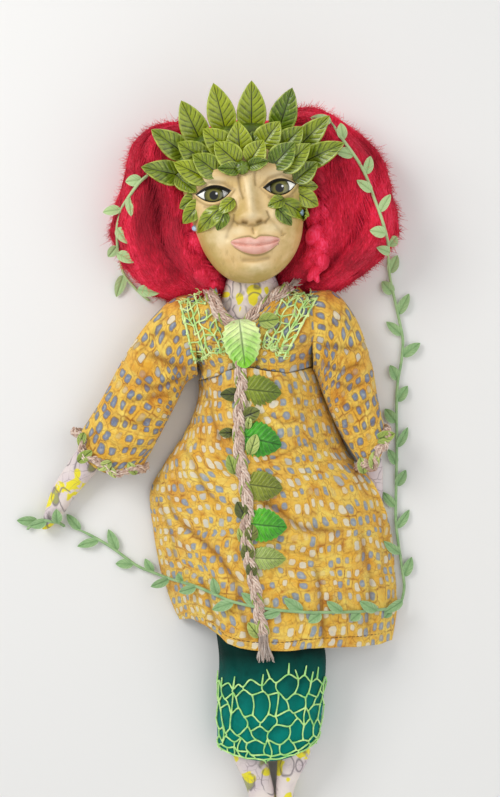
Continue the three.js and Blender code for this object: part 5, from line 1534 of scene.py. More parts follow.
def eyeFinish(side):
    finish = Finish("eyePaint" + side, 0.12, Coat_Weight=0.6, Coat_Roughness=0.05)
    place = finish.spot()
    centre = headPoint(*eyes[side]["iris"], 0) * mm
    x = (finish.axis(place, 0) - centre.x) * 1000
    y = (finish.axis(place, 1) - centre.y) * 1000
    far = (x * x + y * y) ** 0.5
    spokes = finish.noise(finish.scaled(place, 900, 900, 0), 1, 3)
    iris = finish.mixed((far / eyes["irisRadius"]).rise(0.35, 0.9) + (spokes - 0.5) * 0.5,
                        colour(138, 132, 44), colour(74, 74, 18))
    edge = (far - eyes["irisRadius"]).rise(-1.0, -0.3)
    iris = finish.mixed(edge, iris, colour(22, 24, 10))
    tint = finish.mixed((far - eyes["irisRadius"]).rise(-0.25, 0.25), iris, colour(252, 250, 242))
    tint = finish.mixed((far - eyes["pupil"]).rise(0.3, -0.3), tint, colour(8, 8, 6))
    gx, gy = x - 2.2, y - 1.3
    glint = (gx * gx + gy * gy) ** 0.5
    tint = finish.mixed((glint - 0.8).rise(0.3, -0.3), tint, colour(250, 250, 250))
    finish.paint(tint)
    return finish


def makeEye(side):
    (x0, y0), (x1, y1) = sorted((eyes[side]["outer"], eyes[side]["inner"]))

    def shape(u, v):
        share = 2 * u - 1
        bow = max(1 - share * share, 0)
        along = blend(-eyes["lower"], eyes["upper"], v) * 1.03 * bow / head["unit"]
        across = blend(x0, x1, u)
        swell = max(1 - share * share * 0.9 - (2 * v - 1) ** 2 * 0.25, 0)
        return headPoint(across, blend(y0, y1, u) + along, eyes["ball"] - 2 + eyes["round"] * swell)

    bm = bmesh.new()
    surface(bm, 48, 28, shape)
    return makePiece(bm, "eye" + side.capitalize(), "torso", eyeFinish(side), ["eye_" + side],
                     eyes["thick"])


for side in sides:
    makeEye(side)


def makeBead(side):
    low, high = boxOf("bead_" + side)
    middle, radius = (low + high) / 2, (high.x - low.x) / 2
    bm = bmesh.new()
    bmesh.ops.create_uvsphere(bm, u_segments=32, v_segments=20, radius=radius)
    bmesh.ops.translate(bm, vec=middle, verts=bm.verts)
    return makePiece(bm, "bead" + side.capitalize(), "torso", beadFinish, ["bead_" + side])


def makeBeadFinish():
    finish = Finish("paleBead", 0.15, Coat_Weight=0.5)
    place = finish.spot()
    milk = finish.noise(place, 300, 3)
    finish.paint(finish.mixed(milk.rise(0.3, 0.7), colour(142, 184, 226), colour(204, 226, 244)))
    return finish


beadFinish = makeBeadFinish()
for side in sides:
    makeBead(side)

# All leaves: the fineness of their grid, and their wall, crease and veins
leafForm = {"columns": 32, "rows": 56, "thick": 1.8, "crease": 0.9, "veins": 8, "slope": 1.8}


def leafFinish(name, base, light, dark, edge, gloss=0.35):
    finish = Finish(name, gloss, Coat_Weight=0.15, Coat_Roughness=0.3)
    cloth = finish.cloth()
    tone = finish.mark("tone")
    place = finish.node("VectorMath", {"operation": "ADD"}, {0: cloth, 1: (0.3, 0.7, 0)})
    cloud = finish.noise(place, 90, 3)
    streak = finish.noise(finish.scaled(cloth, 1400, 260), 1, 3)
    tint = finish.mixed((cloud * 0.6 + tone * 0.5).rise(0.3, 0.85), colour(*base), colour(*light))
    tint = finish.mixed(streak.rise(0.55, 0.75) * 0.4, tint, colour(*edge))
    # Painted highlight, broken into patches, along the edges and beside the veins
    patchyHighlight = finish.noise(place, 240, 3).rise(0.36, 0.62)
    tint = finish.mixed(finish.mark("pale").rise(0.2, 1) * patchyHighlight * 0.85, tint, colour(*edge))
    wash = finish.noise(place, 120, 3).rise(0.5, 0.75) * 0.4
    tint = finish.mixed((finish.mark("vein") + wash).rise(0.1, 0.8), tint, colour(*dark))
    finish.paint(tint)
    finish.relief(streak * 0.5 + cloud * 0.5, 0.25, 0.5)
    return finish


clayLeaf = leafFinish("clayLeaf", (86, 112, 12), (162, 174, 28), (34, 36, 4), (198, 210, 96), 0.3)


# Adds one leaf from base to tip with its half width in mm; hug(x, y, missing) is what it lies on
def addLeaf(bm, base, tip, half, tone=0.5, arch=2.0, cup=1.6, columns=None, rows=None, broad=0.55,
            veinCount=None, hug=None, taper=0.85, pleat=0.0, teeth=0.0, vein=0.45, roll=0.0, crumple=0.0):
    columns, rows = columns or leafForm["columns"], rows or leafForm["rows"]
    along = tip - base
    length = along.length
    along.normalize()
    side = along.cross(Vector((0, 0, 1))).normalized()
    up = side.cross(along).normalized()
    side, up = side * math.cos(roll) + up * math.sin(roll), up * math.cos(roll) - side * math.sin(roll)
    point = broad / (broad + taper)
    norm = point ** broad * (1 - point) ** taper
    count = veinCount or leafForm["veins"]

    def outline(v):
        notch = 1 - teeth * (1 - abs(((v * count) % 1) * 2 - 1)) * smooth(0, 0.1, v)
        return max(half * max(v, 0) ** broad * max(1 - v, 0) ** taper / norm * notch, 0.14)

    def veinAt(u, v):
        across = abs(2 * u - 1)
        middle = 1 - smooth(0.015, 0.075, across)
        place = v * count - across * leafForm["slope"]
        off = abs(place - round(place))
        branch = 0.9 * (1 - smooth(0.0, 0.15, off)) * smooth(0.0, 0.2, across) * (1 - smooth(0.8, 0.95, across))
        branch *= smooth(0.06, 0.16, v) * (1 - smooth(0.86, 0.95, v))
        return max(middle * (1 - smooth(0.93, 0.99, v)), branch * 0.9, 0.55 * (1 - smooth(0.0, 0.16, v)))

    # Painted highlight along the leaf's edges and beside each vein
    def edgeHighlightAt(u, v):
        across = abs(2 * u - 1)
        place = v * count - across * leafForm["slope"] + 0.3
        off = abs(place - round(place))
        beside = (1 - smooth(0.06, 0.18, off)) * smooth(0.1, 0.5, across) * 0.6
        return max(smooth(0.8, 0.97, across), beside)

    def shape(u, v):
        share = 2 * u - 1
        spot = base + along * (length * v) + side * (outline(v) * share)
        lift = arch * math.sin(math.pi * v) + cup * share * share * min(outline(v) / half, 1)
        lift -= leafForm["crease"] * hump(share, 0.16) * math.sin(math.pi * min(max(v, 0.02), 0.98)) ** 0.4
        lift -= vein * veinAt(u, v)
        fold = (v * count - abs(share) * leafForm["slope"]) % 1
        lift += pleat * (abs(fold * 2 - 1) - 0.5) * smooth(0, 0.25, abs(share)) * smooth(0, 0.1, v) * (1 - v ** 6)
        lift += 0.5 * math.cos(share * math.pi / 2) * math.sin(math.pi * v)
        if crumple:
            lift += crumple * noise.noise(Vector((share * 3, v * 5, half))) * math.sin(math.pi * v)
        if hug:
            spot.z = hug(spot.x, spot.y, spot.z) + 0.8
        return spot + up * lift

    surface(bm, columns, rows, shape, {
        "vein": veinAt, "pale": edgeHighlightAt, "tone": lambda u, v: tone, "stout": lambda u, v: 1 - smooth(0.9, 1, v),
    })


def leafPiece(name, leaves, node, thick=leafForm["thick"]):
    bm = bmesh.new()
    for leaf in leaves:
        addLeaf(bm, **leaf)
    return makePiece(bm, name, "torso", clayLeaf, [node], thick)


crown = {
    "width": 10.5,
    # tip x y, base x y, width, base height, tip height, tone
    "spikes": [
        (-1.68, 1.0, -1.0, 0.8, 0.9, 69, 82, 0.3), (-1.45, 1.59, -0.9, 1.12, 0.92, 71, 84, 0.4),
        (-0.92, 2.02, -0.66, 1.3, 1.02, 69, 82, 0.7), (-0.37, 2.24, -0.25, 1.42, 1.04, 71, 84, 0.9),
        (0.25, 2.22, 0.16, 1.4, 1.08, 69, 82, 0.7), (0.89, 2.02, 0.58, 1.34, 1.0, 71, 84, 0.0),
        (1.44, 1.5, 0.82, 1.02, 0.88, 69, 82, 0.5), (1.63, 1.02, 0.9, 0.8, 0.86, 71, 84, 0.4),
    ],
    "middle": [
        (-1.05, 1.33, -0.6, 0.95, 0.95, 78, 85, 0.5), (-0.62, 1.5, -0.2, 1.05, 1.0, 80, 87, 0.8),
        (-0.28, 1.46, -0.14, 1.02, 0.75, 78, 84, 0.2), (-0.05, 1.56, -0.07, 0.94, 1.0, 81, 88, 0.9),
        (0.18, 1.38, 0.1, 0.98, 0.75, 78, 84, 0.3), (0.63, 1.48, 0.25, 1.08, 1.0, 80, 87, 0.7),
        (0.99, 1.36, 0.55, 1.0, 0.95, 79, 85, 0.4), (-0.66, 1.32, -0.4, 0.98, 0.8, 76, 82, 0.3),
        (0.5, 1.28, 0.33, 0.95, 0.7, 77, 82, 0.5),
    ],
    "front": [
        (-1.15, 1.0, -0.6, 0.66, 0.85, 83, 87, 0.8), (-0.83, 1.09, -0.43, 0.72, 0.9, 86, 90, 0.4),
        (-0.46, 1.24, -0.1, 0.83, 0.95, 89, 92, 0.7), (0.33, 1.19, 0.06, 0.84, 0.85, 90, 92, 0.9),
        (0.83, 1.1, 0.42, 0.74, 0.95, 87, 90, 0.1), (1.08, 1.06, 0.55, 0.68, 0.9, 84, 88, 0.5),
        (1.17, 0.76, 0.76, 0.5, 0.75, 78, 82, 0.3),
    ],
    # The band that the back leaves stand on: across, along
    "band": [
        (-1.0, 0.84), (-0.86, 1.08), (-0.6, 1.26), (-0.2, 1.36), (0.16, 1.36), (0.54, 1.26), (0.8, 1.06), (0.92, 0.84),
    ],
    "bandHigh": 70,
    "bandRadius": 7.5,
    # across, along, radius mm, height mm
    "button": (-0.055, 0.74, 5.2, 93),
    "buttonLeaves": [(-0.46, 0.80, -0.08, 0.75, 0.5, 91, 94, 0.1), (0.38, 0.83, 0.02, 0.78, 0.45, 92, 95, 0.1)],
}


# One row of the crown's tables as a leaf
def crownLeaf(tipX, tipY, baseX, baseY, width, low, high, tone):
    return {"base": headPoint(baseX * 0.99, baseY * 0.965, low), "tip": headPoint(tipX * 0.985, tipY * 0.963, high),
            "half": crown["width"] * width, "tone": tone, "broad": 0.55, "taper": 0.92}


# A small low leaf belongs to the first of the front leaves
lowLeaf = {"base": headPoint(-1.12, 0.8, 74), "tip": headPoint(-0.83, 0.47, 79), "half": 7, "tone": 0.4}
for number, row in enumerate(crown["spikes"], 1):
    leafPiece("crownSpike%d" % number, [crownLeaf(*row)], "crown_spike_%d" % number)
for number, row in enumerate(crown["front"], 1):
    leafPiece("crownFront%d" % number, [crownLeaf(*row)] + ([lowLeaf] if number == 1 else []),
              "crown_front_leaf_%d" % number)
leafPiece("crownMiddle", [crownLeaf(*row) for row in crown["middle"]], "crown_middle_row")


def makeBand():
    path = curveThrough([headPoint(x, y, crown["bandHigh"]) for x, y in crown["band"]], 60)
    bm = bmesh.new()
    marks = {"vein": lambda u, v: 0.3, "pale": lambda u, v: 0.0, "tone": lambda u, v: 0.1}
    tube(bm, path, rounded(crown["bandRadius"]), 16, marks=marks)
    return makePiece(bm, "crownBand", "torso", clayLeaf, ["crown_middle_row"])


makeBand()


def makeButton():
    bm = bmesh.new()
    x, y, radius, z = crown["button"]
    middle = headPoint(x, y, z)

    def shape(u, v):
        angle = u * math.tau
        slope = v * math.pi / 2 * 1.15
        r = radius * math.sin(slope)
        ridge = 0.35 * math.cos(angle * 8) * v
        return middle + Vector((math.cos(angle) * r, math.sin(angle) * r, 2.6 * math.cos(slope) + ridge))

    marks = {"vein": lambda u, v: 0.7 * smooth(0.3, -0.6, math.cos(u * math.tau * 8)) * v + smooth(0.88, 1, v),
             "pale": lambda u, v: 0.0, "tone": lambda u, v: 0.2}
    surface(bm, 64, 14, shape, marks)
    for row in crown["buttonLeaves"]:
        addLeaf(bm, **crownLeaf(*row))
    return makePiece(bm, "crownButton", "torso", clayLeaf, ["crown_button"], 1.5)


makeButton()

# Cheek leaves: tip, base, width, base height, tip height, tone
onFace = heightOn(clayFace)
cheeks = {
    "right_outer": [(-1.13, 0.27, -0.78, 0.43, 1.0, 72, 68, 0.5), (-1.1, 0.02, -0.74, 0.34, 1.15, 74, 68, 0.6)],
    "right_inner": [
        (-0.89, -0.15, -0.46, 0.17, 1.15, 80, 76, 0.6), (-0.51, 0.07, -0.24, 0.28, 0.85, 83, 82, 0.8),
        (-0.56, -0.19, -0.4, 0.1, 0.95, 82, 80, 0.2),
    ],
    "left_outer": [(1.13, 0.37, 0.76, 0.42, 0.9, 71, 67, 0.8), (1.1, 0.07, 0.78, 0.3, 1.15, 72, 66, 0.9)],
    "left_inner": [
        (0.28, 0.1, 0.56, 0.2, 0.85, 82, 83, 0.5), (0.93, -0.1, 0.5, 0.16, 1.15, 82, 74, 0.6),
        (0.63, -0.23, 0.42, 0.06, 0.9, 82, 79, 0.1),
    ],
}

for group, rows in cheeks.items():
    leaves = []
    for tipX, tipY, baseX, baseY, width, low, high, tone in rows:
        leaves.append({"base": headPoint(baseX, baseY, low + 2), "tip": headPoint(tipX, tipY, high + 2),
                       "half": 6.2 * width, "tone": tone, "arch": 1.6, "cup": 0.9, "rows": 28, "columns": 22,
                       "veinCount": 5, "hug": onFace if "inner" in group else None})
    words = group.split("_")
    leafPiece("cheekLeaves" + words[0].capitalize() + words[1].capitalize(), leaves, "cheek_leaves_" + group, 1.5)
print("crown and cheek leaves set")

# Hair: wool combed from the crown down each side, inner and outer edge in head shares
hair = {
    "depth": 53,
    "radius": 0.3,
    "strands": 2300,
    "topStrands": 700,
    "fuzz": 5200,
    # inner x y, outer x y, from the top to the ends
    "right": [
        (-0.5, 1.3, -0.6, 1.86), (-0.8, 1.2, -1.3, 1.84), (-0.72, 0.9, -1.82, 1.56), (-0.66, 0.6, -2.0, 1.12),
        (-0.62, 0.3, -2.16, 0.6), (-0.6, 0.0, -2.36, 0.12), (-0.58, -0.3, -2.28, -0.36), (-0.55, -0.55, -2.0, -0.66),
        (-0.44, -0.8, -1.84, -0.92), (-0.3, -1.0, -1.5, -1.12),
    ],
    "left": [
        (0.45, 1.3, 0.6, 1.88), (0.78, 1.2, 1.24, 1.84), (0.72, 0.9, 1.8, 1.46), (0.62, 0.6, 2.2, 1.04),
        (0.6, 0.3, 2.38, 0.6), (0.58, 0.0, 2.42, 0.1), (0.58, -0.3, 2.42, -0.4), (0.52, -0.6, 2.12, -0.84),
        (0.36, -0.85, 1.72, -1.08), (0.24, -1.04, 1.24, -1.24),
    ],
    "top": [
        (-0.9, 0.7, -0.95, 1.5), (-0.55, 0.5, -0.5, 1.7), (0, 0.4, 0.0, 1.76), (0.5, 0.5, 0.5, 1.7),
        (0.9, 0.7, 0.95, 1.52),
    ],
}


# u goes over a lock from its inner to its outer edge, v along it
def hairPoint(side, u, v, lift=0.0):
    inX, inY, outX, outY = rowAt(hair[side], v)
    angle = math.pi * u
    across = (1 - math.cos(angle)) / 2
    seed = len(side)
    wave = noise.noise(Vector((u * 2.4, v * 5, seed))) * 0.05 * math.sin(angle)
    wander = noise.noise(Vector((v * 5.5, seed * 2.0, 1))) * 0.08 + noise.noise(Vector((v * 15, seed, 4))) * 0.035
    bulge = 1 + wander * across
    x, y = blend(inX, outX, across * bulge), blend(inY, outY, across * bulge) + wave
    thinned = 1 - 0.35 * smooth(0.8, 1, v) - 0.25 * (1 - smooth(0, 0.2, v))
    depth = hair["depth"] * (0.7 if side == "top" else 1) * thinned
    if side != "top":
        depth *= smooth(-0.02, 0.15, v) ** 0.6
    # Rounded rolls with sharp valleys between them
    turn = 3.1 * u + 0.45 * math.sin(v * 4.2 + seed) + noise.noise(Vector((u * 2, v * 2.6, seed))) * 0.5
    rolls = abs(math.sin(math.pi * turn)) ** 0.7
    lump = 0.26 * rolls - 0.2 + noise.noise(Vector((u * 4, v * 3.2, 2.5 + seed))) * 0.2
    lump += noise.noise(Vector((u * 14, v * 5, 8))) * 0.06
    high = max(math.sin(angle), 0) ** 0.62
    z = depth * high * (1 + lump) + 0.6
    point = headPoint(x, y, z)
    out = Vector((0, 0, 1)) * high
    edge = headPoint(outX, outY, 0) - headPoint(inX, inY, 0)
    if edge.length > 0:
        out += edge.normalized() * -math.cos(angle) * 0.8
    return point + out * lift


def hairFinish(name, deep, base, light):
    finish = Finish(name, 0.75, Sheen_Weight=0.3, Sheen_Roughness=0.5, Sheen_Tint=(1, 0.16, 0.3, 1))
    place = finish.spot()
    lock = finish.noise(finish.scaled(place, 30, 16, 30), 1, 3, rough=0.6)
    bent = finish.bent(place, finish.noise(place, 60, 2, output=1), 0.006)
    fine = finish.noise(finish.scaled(bent, 800, 160, 800), 1, 3)
    tint = finish.mixed((lock * 0.8 + fine * 0.3).rise(0.4, 0.66), colour(*deep), colour(*base))
    tint = finish.mixed((fine * 0.6 + lock * 0.5).rise(0.56, 0.82), tint, colour(*light))
    finish.paint(tint)
    finish.relief(fine, 0.6, 0.6)
    return finish


wool = hairFinish("crimsonWool", (168, 0, 34), (244, 16, 60), (255, 72, 118))
woolCurl = hairFinish("curlWool", (176, 2, 40), (246, 18, 66), (255, 86, 132))


def hairStrands(side, count, seed):
    pick = random.Random(seed)
    strands = []
    for _ in range(count):
        start = pick.uniform(0.0, 0.55) if pick.random() < 0.75 else pick.uniform(0.4, 0.8)
        long = pick.uniform(0.25, 0.6)
        u = math.acos(1 - 2 * pick.uniform(0.01, 0.995)) / math.pi
        lift = pick.uniform(-0.4, 1.2)
        swing, phase, rate = pick.uniform(0.006, 0.03), pick.uniform(0, 6.3), pick.uniform(14, 26)
        lean = pick.uniform(-0.04, 0.04)
        thick = hair["radius"] * pick.uniform(0.6, 1.5)
        points, widths = [], []
        for step in range(8):
            share = step / 7
            v = start + long * share
            uu = min(max(u + swing * math.sin(phase + v * rate) + (share - 0.5) * lean, 0.005), 0.998)
            tail = max(v - 1, 0)
            spot = hairPoint(side, uu, min(v, 1), lift * math.sin(math.pi * min(share + 0.1, 1)) ** 0.5)
            if tail:
                spot += headPoint(0, -tail * 0.7, 0) - headPoint(0, 0, 0)
                spot.z *= 1 - tail
            points.append(spot)
            widths.append(thick * (1 - 0.75 * abs(2 * share - 1) ** 3))
        strands.append((points, widths))
    return strands


# Short loose fibres give the felted edge
def hairFuzz(side, count, seed):
    pick = random.Random(seed)
    strands = []
    for _ in range(count):
        u = 1 - 0.5 * pick.random() ** 1.5 if pick.random() < 0.75 else pick.uniform(0.05, 0.6)
        v = pick.uniform(0.0, 1.0)
        root, outside = hairPoint(side, u, v, -0.3), hairPoint(side, u, v, 1.0)
        after = hairPoint(side, u, min(v + 0.02, 1), -0.3) - hairPoint(side, u, max(v - 0.02, 0), -0.3)
        out = (outside - root).normalized() * pick.uniform(0.2, 0.9) + after.normalized() * pick.uniform(-0.3, 1.0)
        bend = Vector((pick.gauss(0, 1), pick.gauss(0, 1), pick.gauss(0, 0.6)))
        far = pick.uniform(2, 7)
        points = [root + out * (far * s) + bend * (far * 0.35 * s * s) for s in (0, 0.35, 0.7, 1)]
        for point in points:
            point.z = max(point.z, 0.4)
        strands.append((points, [0.13, 0.12, 0.1, 0.05]))
    return strands


def makeHair(side, columns, rows, strands):
    bm = bmesh.new()
    surface(bm, columns, rows, lambda u, v: hairPoint(side, u, v))

    # Flat underside, so that the lock is closed
    surface(bm, columns, rows, lambda u, v: Vector((*hairPoint(side, 1 - u, v).xy, 0.5)))
    lock = makePiece(bm, "hair" + side.capitalize(), "torso", wool, ["hair_" + side], weld=True)
    layers = [("hairStrands", hairStrands(side, strands, len(side) * 7))]
    if side != "top":
        layers.append(("hairFuzz", hairFuzz(side, hair["fuzz"], len(side))))
    for name, made in layers:
        strandPiece(name + side.capitalize(), made, "torso", wool, "hair_" + side)
    return lock


hairLocks = [makeHair(side, 70, 90, hair["strands"]) for side in sides]
makeHair("top", 40, 60, hair["topStrands"])
print("hair combed")

# Curls beside the face: twisted locks of wool
curls = {
    "right": [(-0.98, 0.1, 44), (-0.98, -0.35, 43), (-0.86, -0.75, 40), (-0.7, -1.0, 36)],
    "left": [(1.1, 0.85, 44), (1.12, 0.3, 46), (1.08, -0.3, 46), (0.98, -0.8, 42), (0.9, -1.1, 38)],
    "thick": 4.8,
    "pitch": 36,
    "strands": 420,
    "radius": 0.22,
}


def makeCurls(side):
    path = curveThrough([headPoint(x, y, z + 6) for x, y, z in curls[side]], 110)
    bm = bmesh.new()
    ropes = braidPaths(path, 9, 7, curls["pitch"], 2) + braidPaths(path, 7, 9, curls["pitch"] * 1.4, 1, 2.0)
    for number, rope in enumerate(ropes):
        def plump(share, number=number):
            lump = noise.noise(Vector((share * 9, number * 3.1, len(side))))
            return rounded(curls["thick"], 0.12)(share) * (1 + lump * 0.7)

        tube(bm, rope, plump, 14)
    makePiece(bm, "curls" + side.capitalize(), "torso", woolCurl, ["curls_" + side])
    pick = random.Random(len(side))
    strands = []
    for _ in range(curls["strands"]):
        rope = pick.choice(ropes)
        first = pick.randrange(0, 70)
        phase, grow = pick.uniform(0, 6.3), pick.uniform(0.96, 1.3)
        points = []
        for point, side_, up in frames(rope)[first:first + pick.randrange(14, 34):3]:
            phase += 0.35
            points.append(point + (side_ * math.cos(phase) + up * math.sin(phase)) * curls["thick"] * grow)
        strands.append((points, [curls["radius"]] * len(points)))
    strandPiece("curlStrands" + side.capitalize(), strands, "torso", woolCurl, "curls_" + side)


for side in sides:
    makeCurls(side)


# A route laid on height(x, y, missing) and evened out over its neighbours
def laid(points, height, lift, missing, count, even):
    path = curveThrough([Vector((x, y, 0)) for x, y in points], count)
    heights = [height(p.x, p.y, missing) for p in path]
    for index, point in enumerate(path):
        near = heights[max(index - even, 0):index + even + 1]
        point.z = max(sum(near) / len(near), heights[index]) + lift
    return path


# Braided twine at the neck, down the front and round the cuffs
twine = {
    "strand": 2.3, "width": 6.0, "thick": 2.6, "pitch": 44, "facets": 5, "fuzz": 0.16, "clear": 0.3, "green": 2,
    "fray": 200, "reach": 3.2, "cuffFray": 180, "cuffReach": 3.4, "frayThin": 0.4, "toneScale": 400,
}
tassel = {"strands": 95, "short": 17, "long": 23, "toneScale": 700}
neckPath = laid([(-31, 172), (-24, 152), (-17, 138), (-4.6, 130.5), (4.6, 137), (20.5, 149.5), (38, 161.5)],
                heightOn(tunicBodice, torsoPiece), 2.8, 30, 90, 8)
frontPoints = [
    (-6.6, 107), (-5.2, 82), (-8.4, 59), (-9.2, 31), (-6.2, 4), (-5.2, -14.6), (-7, -33), (-5.2, -56), (-2, -79),
    (0.8, -102), (2.6, -114.5),
]
onTunic = heightOn(tunicSkirt, tunicBodice)
frontPath = laid(frontPoints, onTunic, 2.4, 40, 240, 5)


def makeBraid(name, path, node, seed, ride=True):
    ropes = braidPaths(path, twine["width"], twine["thick"], twine["pitch"])
    bm = bmesh.new()
    bundles(bm, ropes, twine["strand"], seed)
    pieces = [makePiece(bm, name, "torso", hempTwine, [node], ride=ride)]
    strands = fuzz(ropes, twine["fray"], twine["reach"], seed)
    pieces.append(strandPiece(name + "Fuzz", strands, "torso", hempFibre, node, ride,
                              tone=twine["toneScale"]))
    bm = bmesh.new()
    for rope in braidPaths(path, twine["width"] + 2.6, twine["thick"] + 2.4, twine["pitch"], twine["green"], 0.5):
        tube(bm, rope, rounded(0.75, 0.03), 6)
    pieces.append(makePiece(bm, name + "Green", "torso", greenTwine, [node], ride=ride))
    return pieces


makeBraid("neckBraid", neckPath, "neck_twine", 3)
frontBraid = makeBraid("frontBraid", frontPath, "front_braid", 4, ride=False)


# Loose ends: a fan of fibres from a bound root
def makeFray(name, root, aim, spread, long, count, seed):
    pick = random.Random(seed)
    strands = []
    thin = twine["frayThin"]
    aim = aim.normalized()
    for _ in range(count):
        out = (aim + Vector((pick.gauss(0, spread), pick.gauss(0, spread), pick.gauss(0, spread * 0.5)))).normalized()
        start = root + Vector((pick.gauss(0, 1.2), pick.gauss(0, 0.6), pick.gauss(0, 0.8)))
        far = long * pick.uniform(0.55, 1.1)
        sway = Vector((pick.gauss(0, 1), pick.gauss(0, 1), pick.gauss(0, 0.4))) * 0.9
        points = [start + out * (far * s) + sway * (s * s) for s in (0, 0.3, 0.6, 0.85, 1)]
        strands.append((points, [thin, thin * 0.9, thin * 0.8, thin * 0.6, thin * 0.3]))
    strandPiece(name, strands, "torso", hempFibre, "neck_twine", tone=twine["toneScale"])


makeFray("neckFray", neckPath[0], Vector((-0.5, 1, 0.1)), 0.3, 12, 60, 1)
makeFray("neckFrayLeft", neckPath[-1], Vector((0.8, 0.6, 0.1)), 0.25, 8, 40, 2)


def makeTassel():
    end = frontPath[-1]
    pick = random.Random(5)
    strands = []
    for _ in range(tassel["strands"]):
        away = pick.uniform(-1, 1)
        start = end + Vector((away * 2.6, 1.5, pick.uniform(-1.6, 1.4)))
        far = pick.uniform(tassel["short"], tassel["long"])
        points = []
        for share in (0, 0.25, 0.5, 0.75, 1):
            wide = 0.9 + 1.3 * share
            sway = away * 1.9 * share * wide + 0.6 * math.sin(share * 5 + away * 9)
            spot = Vector((start.x + sway, start.y - far * share, 0))
            spot.z = max(start.z - 3 * share, 3) + 1.2 * math.sin(share * 3 + away * 5)
            points.append(spot)
        thin = pick.uniform(0.35, 0.7)
        strands.append((points, [thin, thin, thin, thin * 0.9, thin * 0.5]))
    strandPiece("braidTassel", strands, "lower_skirt", hempFibre, "braid_tassel",
                tone=tassel["toneScale"])


makeTassel()


def makeCuff(side):
    ring = [sleevePoint(side, i / 90, 0.968 + 0.016 * math.sin(i * 0.5), 1.5) for i in range(91)]
    body, node = "arm_" + side, "cuff_twine_" + side
    path = curveThrough(ring[:-1] + [ring[0]], 150)
    around = measured(path)[-1]
    ropes = braidPaths(path, 5.0, 2.4, around / 8) + braidPaths(path, 9, 3, around / 5, 1, 1.0)
    bm = bmesh.new()
    bundles(bm, ropes, 1.7, len(side), 5, 26, closed=True)
    for vert in bm.verts:
        vert.co.z = max(vert.co.z, 0.1)
    makePiece(bm, "cuff" + side.capitalize(), body, hempTwine, [node])
    strands = fuzz(ropes, twine["cuffFray"], twine["cuffReach"], len(side))
    strandPiece("cuffFuzz" + side.capitalize(), strands, body, hempTwine, node, tone=twine["toneScale"])
    return path


cuffs = {side: makeCuff(side) for side in sides}
print("twine braided")

# Satin leaves down the front and the brooch: base, tip, half width, then base, light and vein colours
satin = {
    "brooch": {"base": (-4.5, 136), "tip": (-1.5, 97), "half": 15.6, "tints": ((128, 204, 30), (236, 250, 180))},
    "front": [
        {"base": (-4, 81), "tip": (26, 76), "half": 12.6, "tints": ((80, 104, 12), (148, 164, 50))},
        {"base": (-6, 44), "tip": (24, 35), "half": 14.4, "tints": ((30, 116, 14), (90, 192, 48))},
        {"base": (-4, 6), "tip": (23, 1), "half": 12.4, "tints": ((90, 106, 14), (156, 166, 58))},
        {"base": (-5, -25), "tip": (25, -29), "half": 13.6, "tints": ((40, 134, 16), (102, 200, 46))},
        {"base": (-3, -52), "tip": (23, -54), "half": 9.4, "tints": ((128, 152, 48), (186, 204, 120))},
    ],
}


def satinFinish(name, deep, light):
    finish = Finish(name, 0.38, Sheen_Weight=0.25)
    cloth = finish.cloth()
    cloud = finish.noise(cloth, 90, 3)
    thread = finish.noise(finish.scaled(cloth, 2600, 400), 1, 2)
    down = (finish.axis(cloth, 1) * 26).clamped()
    tint = finish.mixed((cloud * 0.8 + thread * 0.3 + 0.3 - down * 0.7).rise(0.2, 0.75), colour(*deep), colour(*light))
    tint = finish.mixed(finish.mark("vein") * 0.85, tint, colour(*(c * 0.34 for c in deep)))
    # Painted highlight along the edges and beside the pleats
    tint = finish.mixed(finish.mark("pale") * 0.3, tint, colour(*light))
    finish.paint(tint)
    finish.relief(thread + cloud * 0.5, 0.3, 0.5)
    return finish


# A pleated leaf that lies on the tunic below it
def makeSatin(name, node, leaf, ride=True, broad=0.4, lift=2.4, taper=0.74):
    base, tip = Vector((*leaf["base"], 0)), Vector((*leaf["tip"], 0))
    heights = [onTunic(*base.lerp(tip, share).xy, 48) for share in (0.1, 0.35, 0.6, 0.85)]
    middle = max(heights)
    base.z, tip.z = max(heights[0], middle - 4) + lift, max(heights[-1], middle - 6) + lift
    bm = bmesh.new()
    addLeaf(bm, base, tip, leaf["half"], columns=44, rows=72, broad=broad, taper=taper, pleat=2.3, teeth=0.09,
            veinCount=8, arch=2.4, cup=-1.8, vein=0.5, crumple=1.6)
    return makePiece(bm, name, "torso", satinFinish(name, *leaf["tints"]), [node], 0.5, ride=ride)


makeSatin("broochLeaf", "brooch_leaf", satin["brooch"], broad=0.4, lift=6.5, taper=0.6)
satinLeaves = [makeSatin("satinLeaf%d" % (i + 1), "front_leaf_%d" % (i + 1), leaf, ride=i < 4)
               for i, leaf in enumerate(satin["front"])]

# Small cloth leaves beside the braid: x, y, turn in degrees, length, half width
sprays = {
    "dark": [
        (-14, 77, 178, 17, 5.4), (1.6, 61, 20, 14, 6), (-19, 47, 180, 12, 4), (-10, -14, 115, 15, 5.6),
        (-3, -32, 80, 13, 5.4), (-7, -47, 95, 14, 5.4), (-4.5, -61, 100, 12, 4.6), (-8, 100, 120, 10, 4),
    ],
    "light": [
        (-16, 22, 105, 16, 4.6), (1.6, 37, 70, 17, 5), (-5, -109, 125, 15, 4.6), (19, 134, 5, 17, 6.4),
        (-1, 54, 80, 10, 2.6), (-12, -34, 100, 12, 2.4),
    ],
}


# Small flat leaves laid on the tunic or on a cuff
def makeSprays(name, rows, finish, body, node, ride=True, height=onTunic, lift=3.6):
    bm = bmesh.new()
    for number, (x, y, turn, long, half) in enumerate(rows):
        way = Vector((math.cos(math.radians(turn)), math.sin(math.radians(turn)), 0))
        base = Vector((x, y, 0)) - way * long / 2
        tip = base + way * long
        z = height(x, y, 45) + lift
        base.z, tip.z = z, z + 0.8
        addLeaf(bm, base, tip, half, columns=14, rows=18, taper=0.7, veinCount=5, arch=1.2, cup=0.8,
                tone=(number * 37 % 10) / 10)
    return makePiece(bm, name, body, finish, [node], 0.5, ride=ride)


